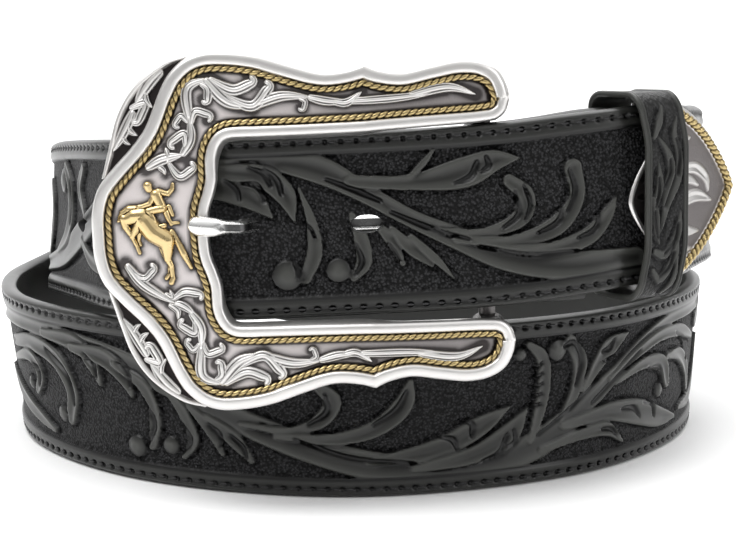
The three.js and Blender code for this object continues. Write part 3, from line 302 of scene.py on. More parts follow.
coil_cuts = [
    [(730, 8, 0.15), (721, 2.6, 0.5), (719.4, -4, 0.25)],
    [(738, 3, 0.15), (734.8, 1.6, 0.5), (735.6, -2, 0.2)],
    [(713.6, 9, 0.15), (710.4, 6.6, 0.45), (709.8, 4, 0.2)],
    [(702.8, 8.4, 0.15), (699.6, 6, 0.5), (699.4, 3, 0.2)],
    [(696, 1, 0.1), (693.4, -5, 0.4), (695.8, -10.6, 0.2)],
    [(686, -4, 0.15), (684.2, -8, 0.4), (686.4, -11, 0.2)],
    [(679.4, -3.6, 0.15), (676.8, -6, 0.4), (676.8, -8.6, 0.2)],
    [(674.4, -6, 0.15), (671.6, -8.4, 0.45), (670.8, -10.6, 0.2)],
    [(657, -2.6, 0.15), (653, 0.4, 0.45), (653.4, 4.2, 0.2)],
    [(643, -2.6, 0.2), (638, 0.6, 0.55), (635.8, 4.6, 0.25)],
    [(628.6, -6, 0.15), (625, -7, 0.5), (624, -9.4, 0.2)],
    [(623.6, -2.8, 0.15), (620.6, -3.6, 0.5), (620.6, -6.6, 0.2)],
    [(618, -12.4, 0.15), (613.6, -10.8, 0.5), (611.8, -7, 0.2)],
    [(612, -9.8, 0.1), (609.8, -8.6, 0.4), (610, -6.2, 0.15)],
    [(606.4, -0.6, 0.25), (604.8, -0.9, 0.3), (603.2, -0.8, 0.1)],
    [(606.2, 1.4, 0.25), (604.6, 1.3, 0.3), (603, 1.6, 0.1)],
    [(606, 3.4, 0.25), (604.4, 3.4, 0.3), (602.8, 4, 0.1)],
    [(605.8, 5.4, 0.25), (604.2, 5.6, 0.3), (602.8, 6.4, 0.1)],
    [(605.6, 7.4, 0.25), (604.2, 7.8, 0.3), (603, 8.8, 0.1)],
    [(596.8, 11.8, 0.2), (594, 12.6, 0.4), (591.6, 8.6, 0.4), (593.4, 2.4, 0.15)],
    [(585, 9.4, 0.15), (582.4, 9.8, 0.45), (580.8, 11.8, 0.2)],
    [(584.6, 7, 0.15), (582.2, 7.4, 0.4), (580.4, 8, 0.15)],
    [(577, -5.6, 0.15), (572, -6.2, 0.5), (569.6, -8.4, 0.25)],
    [(568, -5.4, 0.15), (563.6, -6.6, 0.55), (562, -9.8, 0.25)],
    [(584.4, -9.4, 0.15), (581, -9.8, 0.4), (579.2, -11.4, 0.2)],
    [(566, 2.6, 0.15), (559.4, 1.4, 0.45), (558.4, -1.6, 0.2)],
    [(604, -8, 0.2), (596, -3.4, 0.35), (586, 3, 0.2)],
    [(588, -2.4, 0.15), (580, 2.4, 0.3), (570, 7.6, 0.15)],
    [(660, -6, 0.2), (648, -10, 0.35), (634, -11.6, 0.2)],
    [(550, 8.8, 0.15), (544, 6, 0.4), (541, 1, 0.2)],
]
motif_length = 256.0
border_line = 14.6
ground_depth = 0.85
leaf_hollow = 0.42
leaf_fall = 0.3
berry_fall = 0.5
outline_cut = 0.5
vein_cut = 0.75


def stroke_line(stroke):
    """A stroke's line in short straight pieces, each place with its half width."""
    rows = np.array(stroke, float)
    if len(rows) < 3:
        rows = np.vstack([rows[0], rows.mean(0), rows[-1]])
    line, lengths = bent_line(rows, 12)
    places = np.linspace(0, lengths[-1], 3 + int(lengths[-1] / 1.1))
    return np.stack([np.interp(places, lengths, line[:, k]) for k in range(3)], -1)


def reach_of(line, distance, rise):
    """How far each place lies outside a stroke, the stroke's half width there and its share along."""
    nearest = np.full(distance.shape, 1e9)
    half = np.ones(distance.shape)
    share = np.zeros(distance.shape)
    for number, ((x, y, width), (next_x, next_y, next_width)) in enumerate(zip(line, line[1:])):
        ahead, up = next_x - x, next_y - y
        part = np.clip(((distance - x) * ahead + (rise - y) * up) / (ahead ** 2 + up ** 2 + 1e-9), 0, 1)
        here = width + (next_width - width) * part
        outside = np.hypot(distance - x - ahead * part, rise - y - up * part) - here
        closer = outside < nearest
        nearest = np.where(closer, outside, nearest)
        half = np.where(closer, here, half)
        share = np.where(closer, (number + part) / (len(line) - 1), share)
    return nearest, half, share


def beside_line(line, distance, margin):
    """Which rows of the grid a line may touch."""
    return np.abs(distance - line[:, 0].mean()).min(1) < np.ptp(line[:, 0]) / 2 + margin


def carve(height, ground, distance, rise, strokes, cuts, shift=0.0):
    """Cuts one set of strokes into the height of the face, in the order of the table."""
    for stroke in strokes:
        line = stroke_line(stroke)
        line[:, 0] += shift
        rows = beside_line(line, distance, 8)
        if not rows.any():
            continue
        outside, half, share = reach_of(line, distance[rows], rise[rows])
        raised = eased(0.12, -0.22, outside)
        inside = -outside / half
        if len(stroke) == 2:
            shaped = berry_fall * (1 - eased(0, 0.8, inside))
            merged = 1
        else:
            shaped = leaf_hollow * eased(0.16, 0.95, inside) * eased(0.7, 2.4, half)
            shaped += leaf_fall * eased(0.2, 0, inside)
            merged = eased(0, 0.2, share)
        edge = outline_cut * np.exp(-(np.maximum(outside, 0) / 0.6) ** 1.4) * merged
        part = height[rows]
        part = np.where(outside > -0.25, part - edge * (1 - raised), part)
        height[rows] = part * (1 - raised) - (0.03 + shaped) * raised
        ground[rows] *= 1 - raised
    for cut in cuts:
        line = stroke_line(cut)
        line[:, 0] += shift
        rows = beside_line(line, distance, 2)
        if not rows.any():
            continue
        outside, _, _ = reach_of(line, distance[rows], rise[rows])
        height[rows] -= vein_cut * np.exp(-(np.maximum(outside + 0.1, 0) / 0.3) ** 2)


billet_end = 232.0
stitch_pitch = 3.2
stitch_rise = 17.2
groove_depth = 0.3
channel_depth = 0.14
awl_depth = 0.8


def carved_face(distance, rise):
    """Height, matting and border of the outer face over a grid of distances and rises."""
    from_middle = np.abs(rise)
    border = eased(border_line - 0.2, border_line + 0.1, from_middle)
    height = -ground_depth * (1 - border)
    ground = 1 - border
    if distance.min() < billet_end:
        carve(height, ground, distance, rise, billet_strokes, billet_cuts)
    if distance.max() > billet_end:
        for repeat in (-1, 0, 1, 2):
            carve(height, ground, distance, rise, coil_strokes, coil_cuts, repeat * motif_length)
    height = height * (1 - border)
    height -= groove_depth * np.exp(-((from_middle - border_line - 0.35) / 0.3) ** 2)
    from_row = from_middle - stitch_rise
    height -= channel_depth * np.exp(-(from_row / 0.65) ** 4)
    from_hole = (distance + stitch_pitch / 2) % stitch_pitch - stitch_pitch / 2
    height -= awl_depth * np.exp(-((from_hole / 0.56) ** 2 + (from_row / 0.52) ** 2) ** 2)
    return height, ground * (1 - border), border


def add_piece(name, points, faces, unrolled=None, values=None):
    """A mesh object from points in millimetres of the belt, on the frame's own axes in metres."""
    mesh = bpy.data.meshes.new(name)
    points = (np.asarray(points).reshape(-1, 3) + belt_place) / 1000
    mesh.from_pydata(points.tolist(), [], [list(face) for face in faces])
    if unrolled is not None:
        corners = np.zeros(len(mesh.loops), int)
        mesh.loops.foreach_get("vertex_index", corners)
        layer = mesh.uv_layers.new(name="unrolled")
        layer.data.foreach_set("uv", np.asarray(unrolled).reshape(-1, 2)[corners].ravel())
    for key, value in (values or {}).items():
        mesh.attributes.new(key, "FLOAT", "POINT").data.foreach_set("value", np.asarray(value).ravel())
    mesh.polygons.foreach_set("use_smooth", [len(face) <= 4 for face in faces])
    mesh.validate()
    piece = bpy.data.objects.new(name, mesh)
    bpy.context.collection.objects.link(piece)
    return piece


def skin(sections, capped=True):
    """Faces over rings of points, turned outwards; uncapped rings close on the first."""
    rows, around = sections.shape[:2]
    grid = np.arange(rows * around).reshape(rows, around)
    ahead = grid[1:] if capped else np.roll(grid, -1, axis=0)
    here = grid[:len(ahead)]
    faces = np.stack([here, np.roll(here, -1, 1), np.roll(ahead, -1, 1), ahead], -1).reshape(-1, 4).tolist()
    if capped:
        faces += [grid[0][::-1].tolist(), grid[-1].tolist()]
    points = sections.reshape(-1, 3) - sections.reshape(-1, 3).mean(0)
    fans = np.array([(face[0], face[k], face[k + 1]) for face in faces for k in range(1, len(face) - 1)])
    a, b, c = (points[fans[:, k]] for k in range(3))
    volume = (np.cross(a, b) * c).sum()
    return faces if volume > 0 else [face[::-1] for face in faces]


point_length = 22.0
edge_round = 1.1
# Painted shade on the border, and a darker tone on the rounded edges and the inner face
border_painted_shade = 0.4
plain_darkness = 0.42


def point_start(rise, half, length):
    """Where the point's outline lies, from its end, at each height above its middle."""
    share = np.minimum(1, np.abs(rise) / half)
    return length * (1 - (1 - share ** 1.2) ** 0.6)


def strap_stretch(name, start, end, step, front_columns):
    """One stretch of the strap: the carved outer face, round edges and a plain inner face."""
    half = strap_width / 2
    flat_half = half - edge_round
    back_columns = 9
    front = np.linspace(flat_half, -flat_half, front_columns)
    bend = np.linspace(0, math.pi, 9)[1:-1]
    rounding = edge_round * np.sin(bend)
    back = np.linspace(-flat_half, flat_half, back_columns)
    rise = np.concatenate([front, -flat_half - rounding, back, flat_half + rounding])
    side = np.concatenate([np.ones(front_columns), np.cos(bend), -np.ones(back_columns), -np.cos(bend)])
    on_front = np.where(np.arange(len(rise)) < front_columns, 1.0, 0.0)
    places = np.arange(start, end + step / 2, step)
    places[-1] = end
    distance = np.repeat(places[:, None], len(rise), 1)
    if start == 0:
        distance = np.maximum(distance, point_start(rise, half, point_length) + 0.02 * distance)
    if end >= strap_length:
        corner = strap_length - flap_corner * np.maximum(0, np.abs(rise) / half - 0.5)
        distance = np.minimum(distance, corner)
    rises = np.broadcast_to(rise, distance.shape)
    height, ground, border = carved_face(distance, rises)
    skived = np.clip((distance - skive_start) / (0.6 * skive_length), 0, 1)
    thickness = strap_thickness + (fold_thickness - strap_thickness) * skived
    height = height * on_front * eased(0, 1.2, flat_half + 0.6 - np.abs(rises)) * (1 - skived)
    points = on_strap(distance, rises, side * thickness / 2 + height)
    unrolled = np.stack([distance, rises], -1) / 100
    # Painted shade: darker on the border and in the cuts and hollows; a darker tone on the edges and the
    # inner face.
    darkness = border_painted_shade * border * on_front + plain_darkness * (1 - on_front)
    values = {"matting": ground * on_front, "depth": darkness - height}
    return add_piece(name, points, skin(points), unrolled, values)


def feed(tree, socket, value):
    """Gives a socket its plain value, or links it from another socket."""
    if isinstance(value, bpy.types.NodeSocket):
        tree.links.new(value, socket)
    else:
        socket.default_value = value


def node(tree, kind, **inputs):
    """Adds a node to the tree and feeds its inputs by name."""
    made = tree.nodes.new(kind)
    for key, value in inputs.items():
        feed(tree, made.inputs[key.replace("_", " ")], value)
    return made


def calculated(tree, operation, *values):
    """The result of a Math node."""
    made = tree.nodes.new("ShaderNodeMath")
    made.operation = operation
    for socket, value in zip(made.inputs, values):
        feed(tree, socket, value)
    return made.outputs[0]


def blended(tree, share, first, second):
    """The colour at a share of the way between two colours."""
    made = tree.nodes.new("ShaderNodeMix")
    made.data_type = "RGBA"
    for key, value in (("Factor", share), ("A", first), ("B", second)):
        feed(tree, made.inputs[key], value)
    return made.outputs["Result"]


def painted(tree, name):
    """The value under this name that the piece's own points carry."""
    made = tree.nodes.new("ShaderNodeAttribute")
    made.attribute_name = name
    return made.outputs["Fac"]


def new_tree(kind, name, inputs, outputs):
    """An empty node group with its named sockets, and the nodes that give and take them."""
    tree = bpy.data.node_groups.new(name, kind)
    for direction, sockets in (("INPUT", inputs), ("OUTPUT", outputs)):
        for label, socket_kind in sockets.items():
            tree.interface.new_socket(label, in_out=direction, socket_type="NodeSocket" + socket_kind)
    return tree, tree.nodes.new("NodeGroupInput").outputs, tree.nodes.new("NodeGroupOutput").inputs


def worn_roughness():
    """Roughness in soft clouds between two values, with more of it under the mask."""
    tree, given, result = new_tree("ShaderNodeTree", "worn_roughness", {
        "Vector": "Vector", "Scale": "Float", "Detail": "Float", "Smoothest": "Float", "Roughest": "Float",
        "Mask": "Float", "Under Mask": "Float",
    }, {"Roughness": "Float"})
    clouds = node(tree, "ShaderNodeTexNoise", Vector=given["Vector"], Scale=given["Scale"],
                  Detail=given["Detail"])
    spread = node(tree, "ShaderNodeMapRange", Value=clouds.outputs["Fac"], To_Min=given["Smoothest"],
                  To_Max=given["Roughest"])
    rough = calculated(tree, "MULTIPLY_ADD", given["Mask"], given["Under Mask"], spread.outputs["Result"])
    tree.links.new(rough, result["Roughness"])
    return tree


def dark_hollows():
    """A colour that darkens as the depth goes from the shallow value to the deep one."""
    tree, given, result = new_tree("ShaderNodeTree", "dark_hollows", {
        "Depth": "Float", "Shallow": "Float", "Deep": "Float", "Clean": "Color", "Dark": "Color",
    }, {"Colour": "Color"})
    share = node(tree, "ShaderNodeMapRange", Value=given["Depth"], From_Min=given["Shallow"],
                 From_Max=given["Deep"])
    darkened = blended(tree, share.outputs["Result"], given["Clean"], given["Dark"])
    tree.links.new(darkened, result["Colour"])
    return tree


def stamped_ground():
    """The pebbles of a stamped ground, and their height where the mask lets them show."""
    tree, given, result = new_tree("ShaderNodeTree", "stamped_ground", {
        "Vector": "Vector", "Scale": "Float", "Mask": "Float",
    }, {"Pebbles": "Float", "Height": "Float"})
    cells = node(tree, "ShaderNodeTexVoronoi", Vector=given["Vector"], Scale=given["Scale"])
    pebbles = cells.outputs["Distance"]
    tree.links.new(pebbles, result["Pebbles"])
    tree.links.new(calculated(tree, "MULTIPLY", pebbles, given["Mask"]), result["Height"])
    return tree


effects = {"wear": worn_roughness(), "hollows": dark_hollows(), "stamping": stamped_ground()}


def effect(tree, name, **inputs):
    """Places one of the shared effects in a material, with that material's own values."""
    made = tree.nodes.new("ShaderNodeGroup")
    made.node_tree = effects[name]
    for key, value in inputs.items():
        feed(tree, made.inputs[key.replace("_", " ")], value)
    return made.outputs


def new_material(name, **surface_values):
    """A material's tree and its surface, with the values that are the same all over it."""
    material = bpy.data.materials.new(name)
    material.use_nodes = True
    tree = material.node_tree
    surface = tree.nodes["Principled BSDF"]
    for key, value in surface_values.items():
        surface.inputs[key.replace("_", " ")].default_value = value
    return material, tree, surface


def black_leather():
    """Black leather: polished where it is raised, with painted shade in its cuts, and stippled where it is
    matted, with painted highlights on the pebbles.
    """
    material, tree, surface = new_material("black_tooled_leather", Specular_IOR_Level=0.15,
                                           Coat_Roughness=0.33)
    place = node(tree, "ShaderNodeUVMap")
    place.uv_map = "unrolled"
    flat_place = place.outputs["UV"]
    matting = painted(tree, "matting")
    stamping = effect(tree, "stamping", Vector=flat_place, Scale=165.0, Mask=matting)
    # Matted ground colour: light dots at the pebbles' tops are painted highlights on a near-black field.
    pebble = node(tree, "ShaderNodeMapRange", Value=stamping["Pebbles"], From_Min=0.15, From_Max=0.62)
    ground_with_pebble_highlights = blended(tree, pebble.outputs["Result"], (0.034, 0.034, 0.036, 1), (0.001, 0.001, 0.0012, 1))
    # Painted shade: the leaf colour darkens with the depth value, in the cuts and hollows and on the
    # border.
    leaf_tone_with_painted_shade = effect(tree, "hollows", Depth=painted(tree, "depth"), Shallow=0.05, Deep=0.6,
                      Clean=(0.044, 0.045, 0.041, 1), Dark=(0.0015, 0.0015, 0.0015, 1))
    feed(tree, surface.inputs["Base Color"], blended(tree, matting, leaf_tone_with_painted_shade["Colour"], ground_with_pebble_highlights))
    polish = node(tree, "ShaderNodeMapRange", Value=matting, To_Min=0.45, To_Max=0.05)
    feed(tree, surface.inputs["Coat Weight"], polish.outputs["Result"])
    wear = effect(tree, "wear", Vector=flat_place, Scale=9.0, Detail=2.0, Smoothest=0.3, Roughest=0.42,
                  Mask=matting, Under_Mask=0.18)
    feed(tree, surface.inputs["Roughness"], wear["Roughness"])
    matted = node(tree, "ShaderNodeBump", Strength=1.0, Distance=0.0005, Height=stamping["Height"])
    matted.invert = True
    grain = node(tree, "ShaderNodeTexNoise", Vector=flat_place, Scale=320.0, Detail=3.0)
    fine = node(tree, "ShaderNodeBump", Strength=0.12, Distance=0.0001, Height=grain.outputs["Fac"],
                Normal=matted.outputs["Normal"])
    feed(tree, surface.inputs["Normal"], fine.outputs["Normal"])
    return material


leather = black_leather()
front_turn_start = 512
front_turn_end = 778
stretches = [
    strap_stretch("strap_billet", 0, billet_end, 0.34, 116),
    strap_stretch("strap_inner_turn", billet_end, front_turn_start, 0.8, 64),
    strap_stretch("strap_front_turn", front_turn_start, front_turn_end, 0.385, 114),
    strap_stretch("strap_upper_turn", front_turn_end, strap_length, 0.8, 64),
]

# The buckle holes, punched through the billet: distance from the tip, rise, half length and half
# height. The prong has drawn the used hole out towards the tip.
drawn_out = 3.2
buckle_holes = [
    (85, 0, 3.3, 1.9),
    (hole_from_tip - drawn_out, 1.0, 2.1, 1.3),
    (141, 0, 2.6, 2.4),
    (169, 0, 2.6, 2.4),
]
punch_turn = np.linspace(0, 2 * math.pi, 48, endpoint=False)


def punch_rings(distance, rise, half_length, half_height):
    """A slightly flared plug through the leather, outwards from the strap's middle."""
    levels = ((2.6, 1.12), (2.0, 1.12), (1.55, 1.0), (-1.7, 1.0), (-2.6, 1.1))
    return np.stack([
        on_strap(distance + half_length * grow * np.cos(punch_turn),
                 rise + half_height * grow * np.sin(punch_turn), outward)
        for outward, grow in levels
    ])


def add_to(points, faces, rings, ring_faces):
    """Adds a form's rings and faces to the lists of a piece that is made of several forms."""
    start = sum(len(part) for part in points)
    points.append(rings.reshape(-1, 3))
    faces.extend([[start + corner for corner in face] for face in ring_faces])


def punched(stretch, holes):
    """Cuts the holes through a stretch, with painted shade on their walls."""
    points, faces = [], []
    for hole in holes:
        rings = punch_rings(*hole)
        add_to(points, faces, rings, skin(rings))
    points = np.vstack(points)
    punch = add_piece("hole_punch", points, faces, values={"depth": np.ones(len(points))})
    cut = stretch.modifiers.new("punch", "BOOLEAN")
    cut.operation = "DIFFERENCE"
    cut.object = punch
    whole = bpy.data.meshes.new_from_object(stretch.evaluated_get(bpy.context.evaluated_depsgraph_get()))
    stretch.modifiers.remove(cut)
    stretch.data = whole
    bpy.data.objects.remove(punch)


punched(stretches[0], buckle_holes)
for stretch in stretches:
    stretch.data.set_sharp_from_angle(angle=math.radians(75))
    stretch.data.materials.append(leather)
    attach(stretch, "root")
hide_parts("strap")


# Stitches: waxed black thread, lockstitched in a row along each edge. Each stitch lies in a shallow
# channel between two punched holes, on the outer face and on the inner one.
def stitch_tree():
    """Lays one short thread capsule at each place along a row."""
    tree, given, result = new_tree("GeometryNodeTree", "stitch_row", {
        "Geometry": "Geometry", "Pitch": "Float", "Length": "Float", "Thread Radius": "Float",
        "Thread": "Material",
    }, {"Geometry": "Geometry"})
    row = node(tree, "GeometryNodeMeshToCurve", Mesh=given["Geometry"])
    spaced = node(tree, "GeometryNodeResampleCurve", Curve=row.outputs["Curve"])
    spaced.mode = "LENGTH"
    feed(tree, spaced.inputs["Length"], given["Pitch"])
    thread = node(tree, "GeometryNodeMeshUVSphere", Segments=8, Rings=6, Radius=given["Thread Radius"])
    thickness = calculated(tree, "MULTIPLY", given["Thread Radius"], 2.0)
    stretch = calculated(tree, "DIVIDE", given["Length"], thickness)
    shape = node(tree, "ShaderNodeCombineXYZ", X=1.0, Y=1.0, Z=stretch)
    longer = node(tree, "GeometryNodeTransform", Geometry=thread.outputs["Mesh"],
                  Scale=shape.outputs["Vector"])
    tangent = node(tree, "GeometryNodeInputTangent")
    turned = node(tree, "FunctionNodeAlignEulerToVector", Vector=tangent.outputs["Tangent"])
    turned.axis = "Z"
    laid = node(tree, "GeometryNodeInstanceOnPoints", Points=spaced.outputs["Curve"],
                Instance=longer.outputs["Geometry"], Rotation=turned.outputs["Rotation"])
    real = node(tree, "GeometryNodeRealizeInstances", Geometry=laid.outputs["Instances"])
    smooth = node(tree, "GeometryNodeSetShadeSmooth", Geometry=real.outputs["Geometry"])
    made = node(tree, "GeometryNodeSetMaterial", Geometry=smooth.outputs["Geometry"],
                Material=given["Thread"])
    tree.links.new(made.outputs["Geometry"], result["Geometry"])
    return tree


def from_nodes(name, rows, tree, **values):
    """Runs a Geometry Nodes tree on rows of places and keeps the result as a plain mesh."""
    points = np.vstack(rows)
    starts = np.cumsum([0] + [len(row) for row in rows])
    edges = [(k, k + 1) for start, end in zip(starts, starts[1:]) for k in range(start, end - 1)]
    mesh = bpy.data.meshes.new(name + "_rows")
    mesh.from_pydata(((points + belt_place) / 1000).tolist(), edges, [])
    source = bpy.data.objects.new(name + "_rows", mesh)
    bpy.context.collection.objects.link(source)
    modifier = source.modifiers.new("layout", "NODES")
    modifier.node_group = tree
    for item in tree.interface.items_tree:
        if item.item_type == "SOCKET" and item.in_out == "INPUT" and item.name.replace(" ", "_") in values:
            modifier[item.identifier] = values[item.name.replace(" ", "_")]
    ready = source.evaluated_get(bpy.context.evaluated_depsgraph_get())
    made = bpy.data.meshes.new_from_object(ready)
    source.modifiers.remove(modifier)
    bpy.data.objects.remove(source)
    made.name = name
    piece = bpy.data.objects.new(name, made)
    bpy.context.collection.objects.link(piece)
    return piece


def black_thread():
    """Waxed thread, with its twist as fine ridges."""
    material, tree, surface = new_material("black_thread", Base_Color=(0.012, 0.012, 0.013, 1),
                                           Roughness=0.55)
    place = node(tree, "ShaderNodeTexCoord")
    fibres = node(tree, "ShaderNodeTexWave", Vector=place.outputs["Object"], Scale=900.0)
    twist = node(tree, "ShaderNodeBump", Strength=0.4, Distance=0.0001, Height=fibres.outputs["Fac"])
    feed(tree, surface.inputs["Normal"], twist.outputs["Normal"])
    return material


# The seams end a little before the strap passes behind its own point.
first_stitch = 25.6
last_stitch = bar_from_tip + 1000
stitch_places = np.arange(first_stitch, last_stitch, stitch_pitch) + stitch_pitch / 2
stitch_rows = [
    on_strap(stitch_places, rise, face * (strap_thickness / 2 - 0.2))
    for rise in (stitch_rise, -stitch_rise) for face in (1, -1)
]
stitches = from_nodes("edge_stitches", stitch_rows, stitch_tree(), Pitch=stitch_pitch / 1000, Length=0.0017,
                      Thread_Radius=0.00027, Thread=black_thread())
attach(stitches, "root")


# Buckle frame: one zinc casting, silver plated. A polished border and an inner lip hold a sunk
# ground, darker towards the arms' ends and with painted shadow round the raised work and the ropes;
# the heel bar stands behind the ends of the arms on two lugs.
# Places are shares of the frame's length, half height and half window, from the arch to an arm's end.
half_height = 37.1
window_gap = 0.2
half_window = strap_width / 2 + window_gap
frame_outline = [
    (0, 0, 0.283, 0), (0.003, 0.136, 0.286, 0.228), (0.021, 0.266, 0.299, 0.404),
    (0.064, 0.386, 0.308, 0.56),
    (0.11, 0.495, 0.309, 0.694), (0.141, 0.587, 0.31, 0.793), (0.161, 0.68, 0.315, 0.876),
    (0.179, 0.777, 0.322, 0.933), (0.205, 0.88, 0.331, 0.974), (0.244, 0.96, 0.345, 0.995),
    (0.287, 0.995, 0.368, 1), (0.345, 0.995, 0.402, 1), (0.414, 0.97, 0.443, 1), (0.494, 0.91, 0.5, 1),
    (0.563, 0.867, 0.563, 1.003), (0.621, 0.875, 0.621, 1.006), (0.662, 0.9, 0.662, 1.01),
    (0.692, 0.87, 0.692, 1.018), (0.747, 0.85, 0.747, 1.028), (0.816, 0.878, 0.816, 1.04),
    (0.885, 0.902, 0.885, 1.05), (0.938, 0.886, 0.931, 1.06), (0.976, 0.832, 0.968, 1.085),
    (0.995, 0.75, 0.991, 1.17), (1, 0.696, 0.999, 1.275),
]
cusp_row = 16
ground_height = 1.9
cusp_share = 0.662
sweep_radius = 300.0
arm_tilt = math.radians(8)


def buckle_sweep(u):
    """How far the frame bends back from its middle, at a place along its length."""
    past_cusp = np.maximum(0, u - cusp_share * buckle_length)
    return (u - buckle_length / 2) ** 2 / (2 * sweep_radius) + past_cusp * math.tan(arm_tilt)


def behind_buckle(u, v, back):
    """A place from its length along the buckle, its height on it and its depth behind it."""
    u, v, back = np.broadcast_arrays(np.asarray(u, float), v, back)
    return (buckle_origin + buckle_right * (u - buckle_length / 2)[..., None]
            + buckle_up * v[..., None] + buckle_back * back[..., None])


def on_buckle(u, v, height):
    """A place at a height above the frame's bent rear face."""
    return behind_buckle(u, v, buckle_sweep(np.asarray(u, float)) - height)


def outline_rows(sign, rows):
    """The outline's outer and inner places in millimetres, on the upper or the lower side."""
    return np.array([
        (a * buckle_length, sign * b * half_height, c * buckle_length, sign * d * half_window)
        for a, b, c, d in rows
    ])


upper_rows = outline_rows(1, frame_outline)
lower_rows = outline_rows(-1, frame_outline)
outline_parts = [
    upper_rows[cusp_row:][::-1],
    np.vstack([upper_rows[:cusp_row + 1][::-1], lower_rows[1:cusp_row + 1]]),
    lower_rows[cusp_row:],
]
edges = []
for rows in outline_parts:
    line, lengths = bent_line(rows, 60)
    places = np.linspace(0, lengths[-1], int(lengths[-1] / 0.55))
    edges.append(np.stack([np.interp(places, lengths, line[:, k]) for k in range(4)], -1))
edges = np.vstack([edges[0], edges[1][1:], edges[2][1:]])
outer_edge, inner_edge = edges[:, :2], edges[:, 2:]
frame_width = np.linalg.norm(outer_edge - inner_edge, axis=1)[:, None]


def least_distance(places, line):
    """How far each place lies from the nearest point of a line."""
    least = np.full(len(places), 1e9)
    batch = 4000
    for start in range(0, len(places), batch):
        part = places[start:start + batch]
        least[start:start + batch] = np.sqrt(((part[:, None] - line[None]) ** 2).sum(-1)).min(1)
    return least


# Depth profiles across the frame, in millimetres from an edge: the broad outer border and the
# narrower lip round the window, each with its channel for the rope
border_profile = np.array([
    (0, 0.95), (0.06, 1.6), (0.18, 2.4), (0.36, 2.95), (0.6, 3.28), (0.9, 3.43), (1.4, 3.5), (2.0, 3.5),
    (2.55, 3.45), (2.82, 3.2), (2.95, 2.3), (3.1, 1.8), (3.6, 1.7), (4.2, 1.75), (4.7, 1.9),
])
lip_profile = np.array([
    (0, 2.3), (0.18, 2.7), (0.36, 2.95), (0.6, 3.12), (0.9, 3.2), (1.4, 3.22), (1.95, 3.15), (2.3, 2.9),
    (2.42, 2.2), (2.6, 1.75), (3.2, 1.7), (3.8, 1.75), (4.2, 1.9),
])
border_reach, lip_reach = border_profile[-1, 0], lip_profile[-1, 0]
fit = np.minimum(1, frame_width / (border_reach + lip_reach + 0.2))
middle = np.linspace(0, 1, 27)[1:-1][None]
offsets = np.hstack([
    border_profile[None, :, 0] * fit,
    border_reach * fit + (frame_width - (border_reach + lip_reach) * fit) * middle,
    frame_width - lip_profile[None, ::-1, 0] * fit,
])
share = (offsets / frame_width)[..., None]
places = outer_edge[:, None] * (1 - share) + inner_edge[:, None] * share
flat = places.reshape(-1, 2)
from_outer = least_distance(flat, outer_edge).reshape(offsets.shape)
from_inner = least_distance(flat, inner_edge).reshape(offsets.shape)
outer_height = np.interp(from_outer, *border_profile.T)
inner_height = np.interp(from_inner, *lip_profile.T)
top = np.where(from_outer < from_inner, outer_height, inner_height)
# Below the lip a ledge reaches into the window along its two sides, as far as the cusps.
ledge_width = 0.6
ledge = (ledge_width * eased(0.6, 0.9, np.abs(inner_edge[:, 1]) / half_window)
         * (1 - eased(0.62, 0.74, inner_edge[:, 0] / buckle_length)))[:, None]


def edge_row(offset, height):
    """A line that follows the outer edge at an offset towards the window, and at one height."""
    share = (offset / frame_width)[..., None]
    place = outer_edge[:, None] * (1 - share) + inner_edge[:, None] * share
    return on_buckle(place[..., 0], place[..., 1], height)


foot_bevel = 0.6
frame_rings = np.concatenate([
    on_buckle(places[..., 0], places[..., 1], top),
    edge_row(frame_width + ledge, 1.0),
    edge_row(frame_width + ledge - 0.1, 0.4),
    edge_row(frame_width + ledge - foot_bevel * fit, 0),
    edge_row(frame_width * 0.5, 0),
    edge_row(foot_bevel * fit, 0),
    edge_row(0.1 * fit, 0.4),
], axis=1)

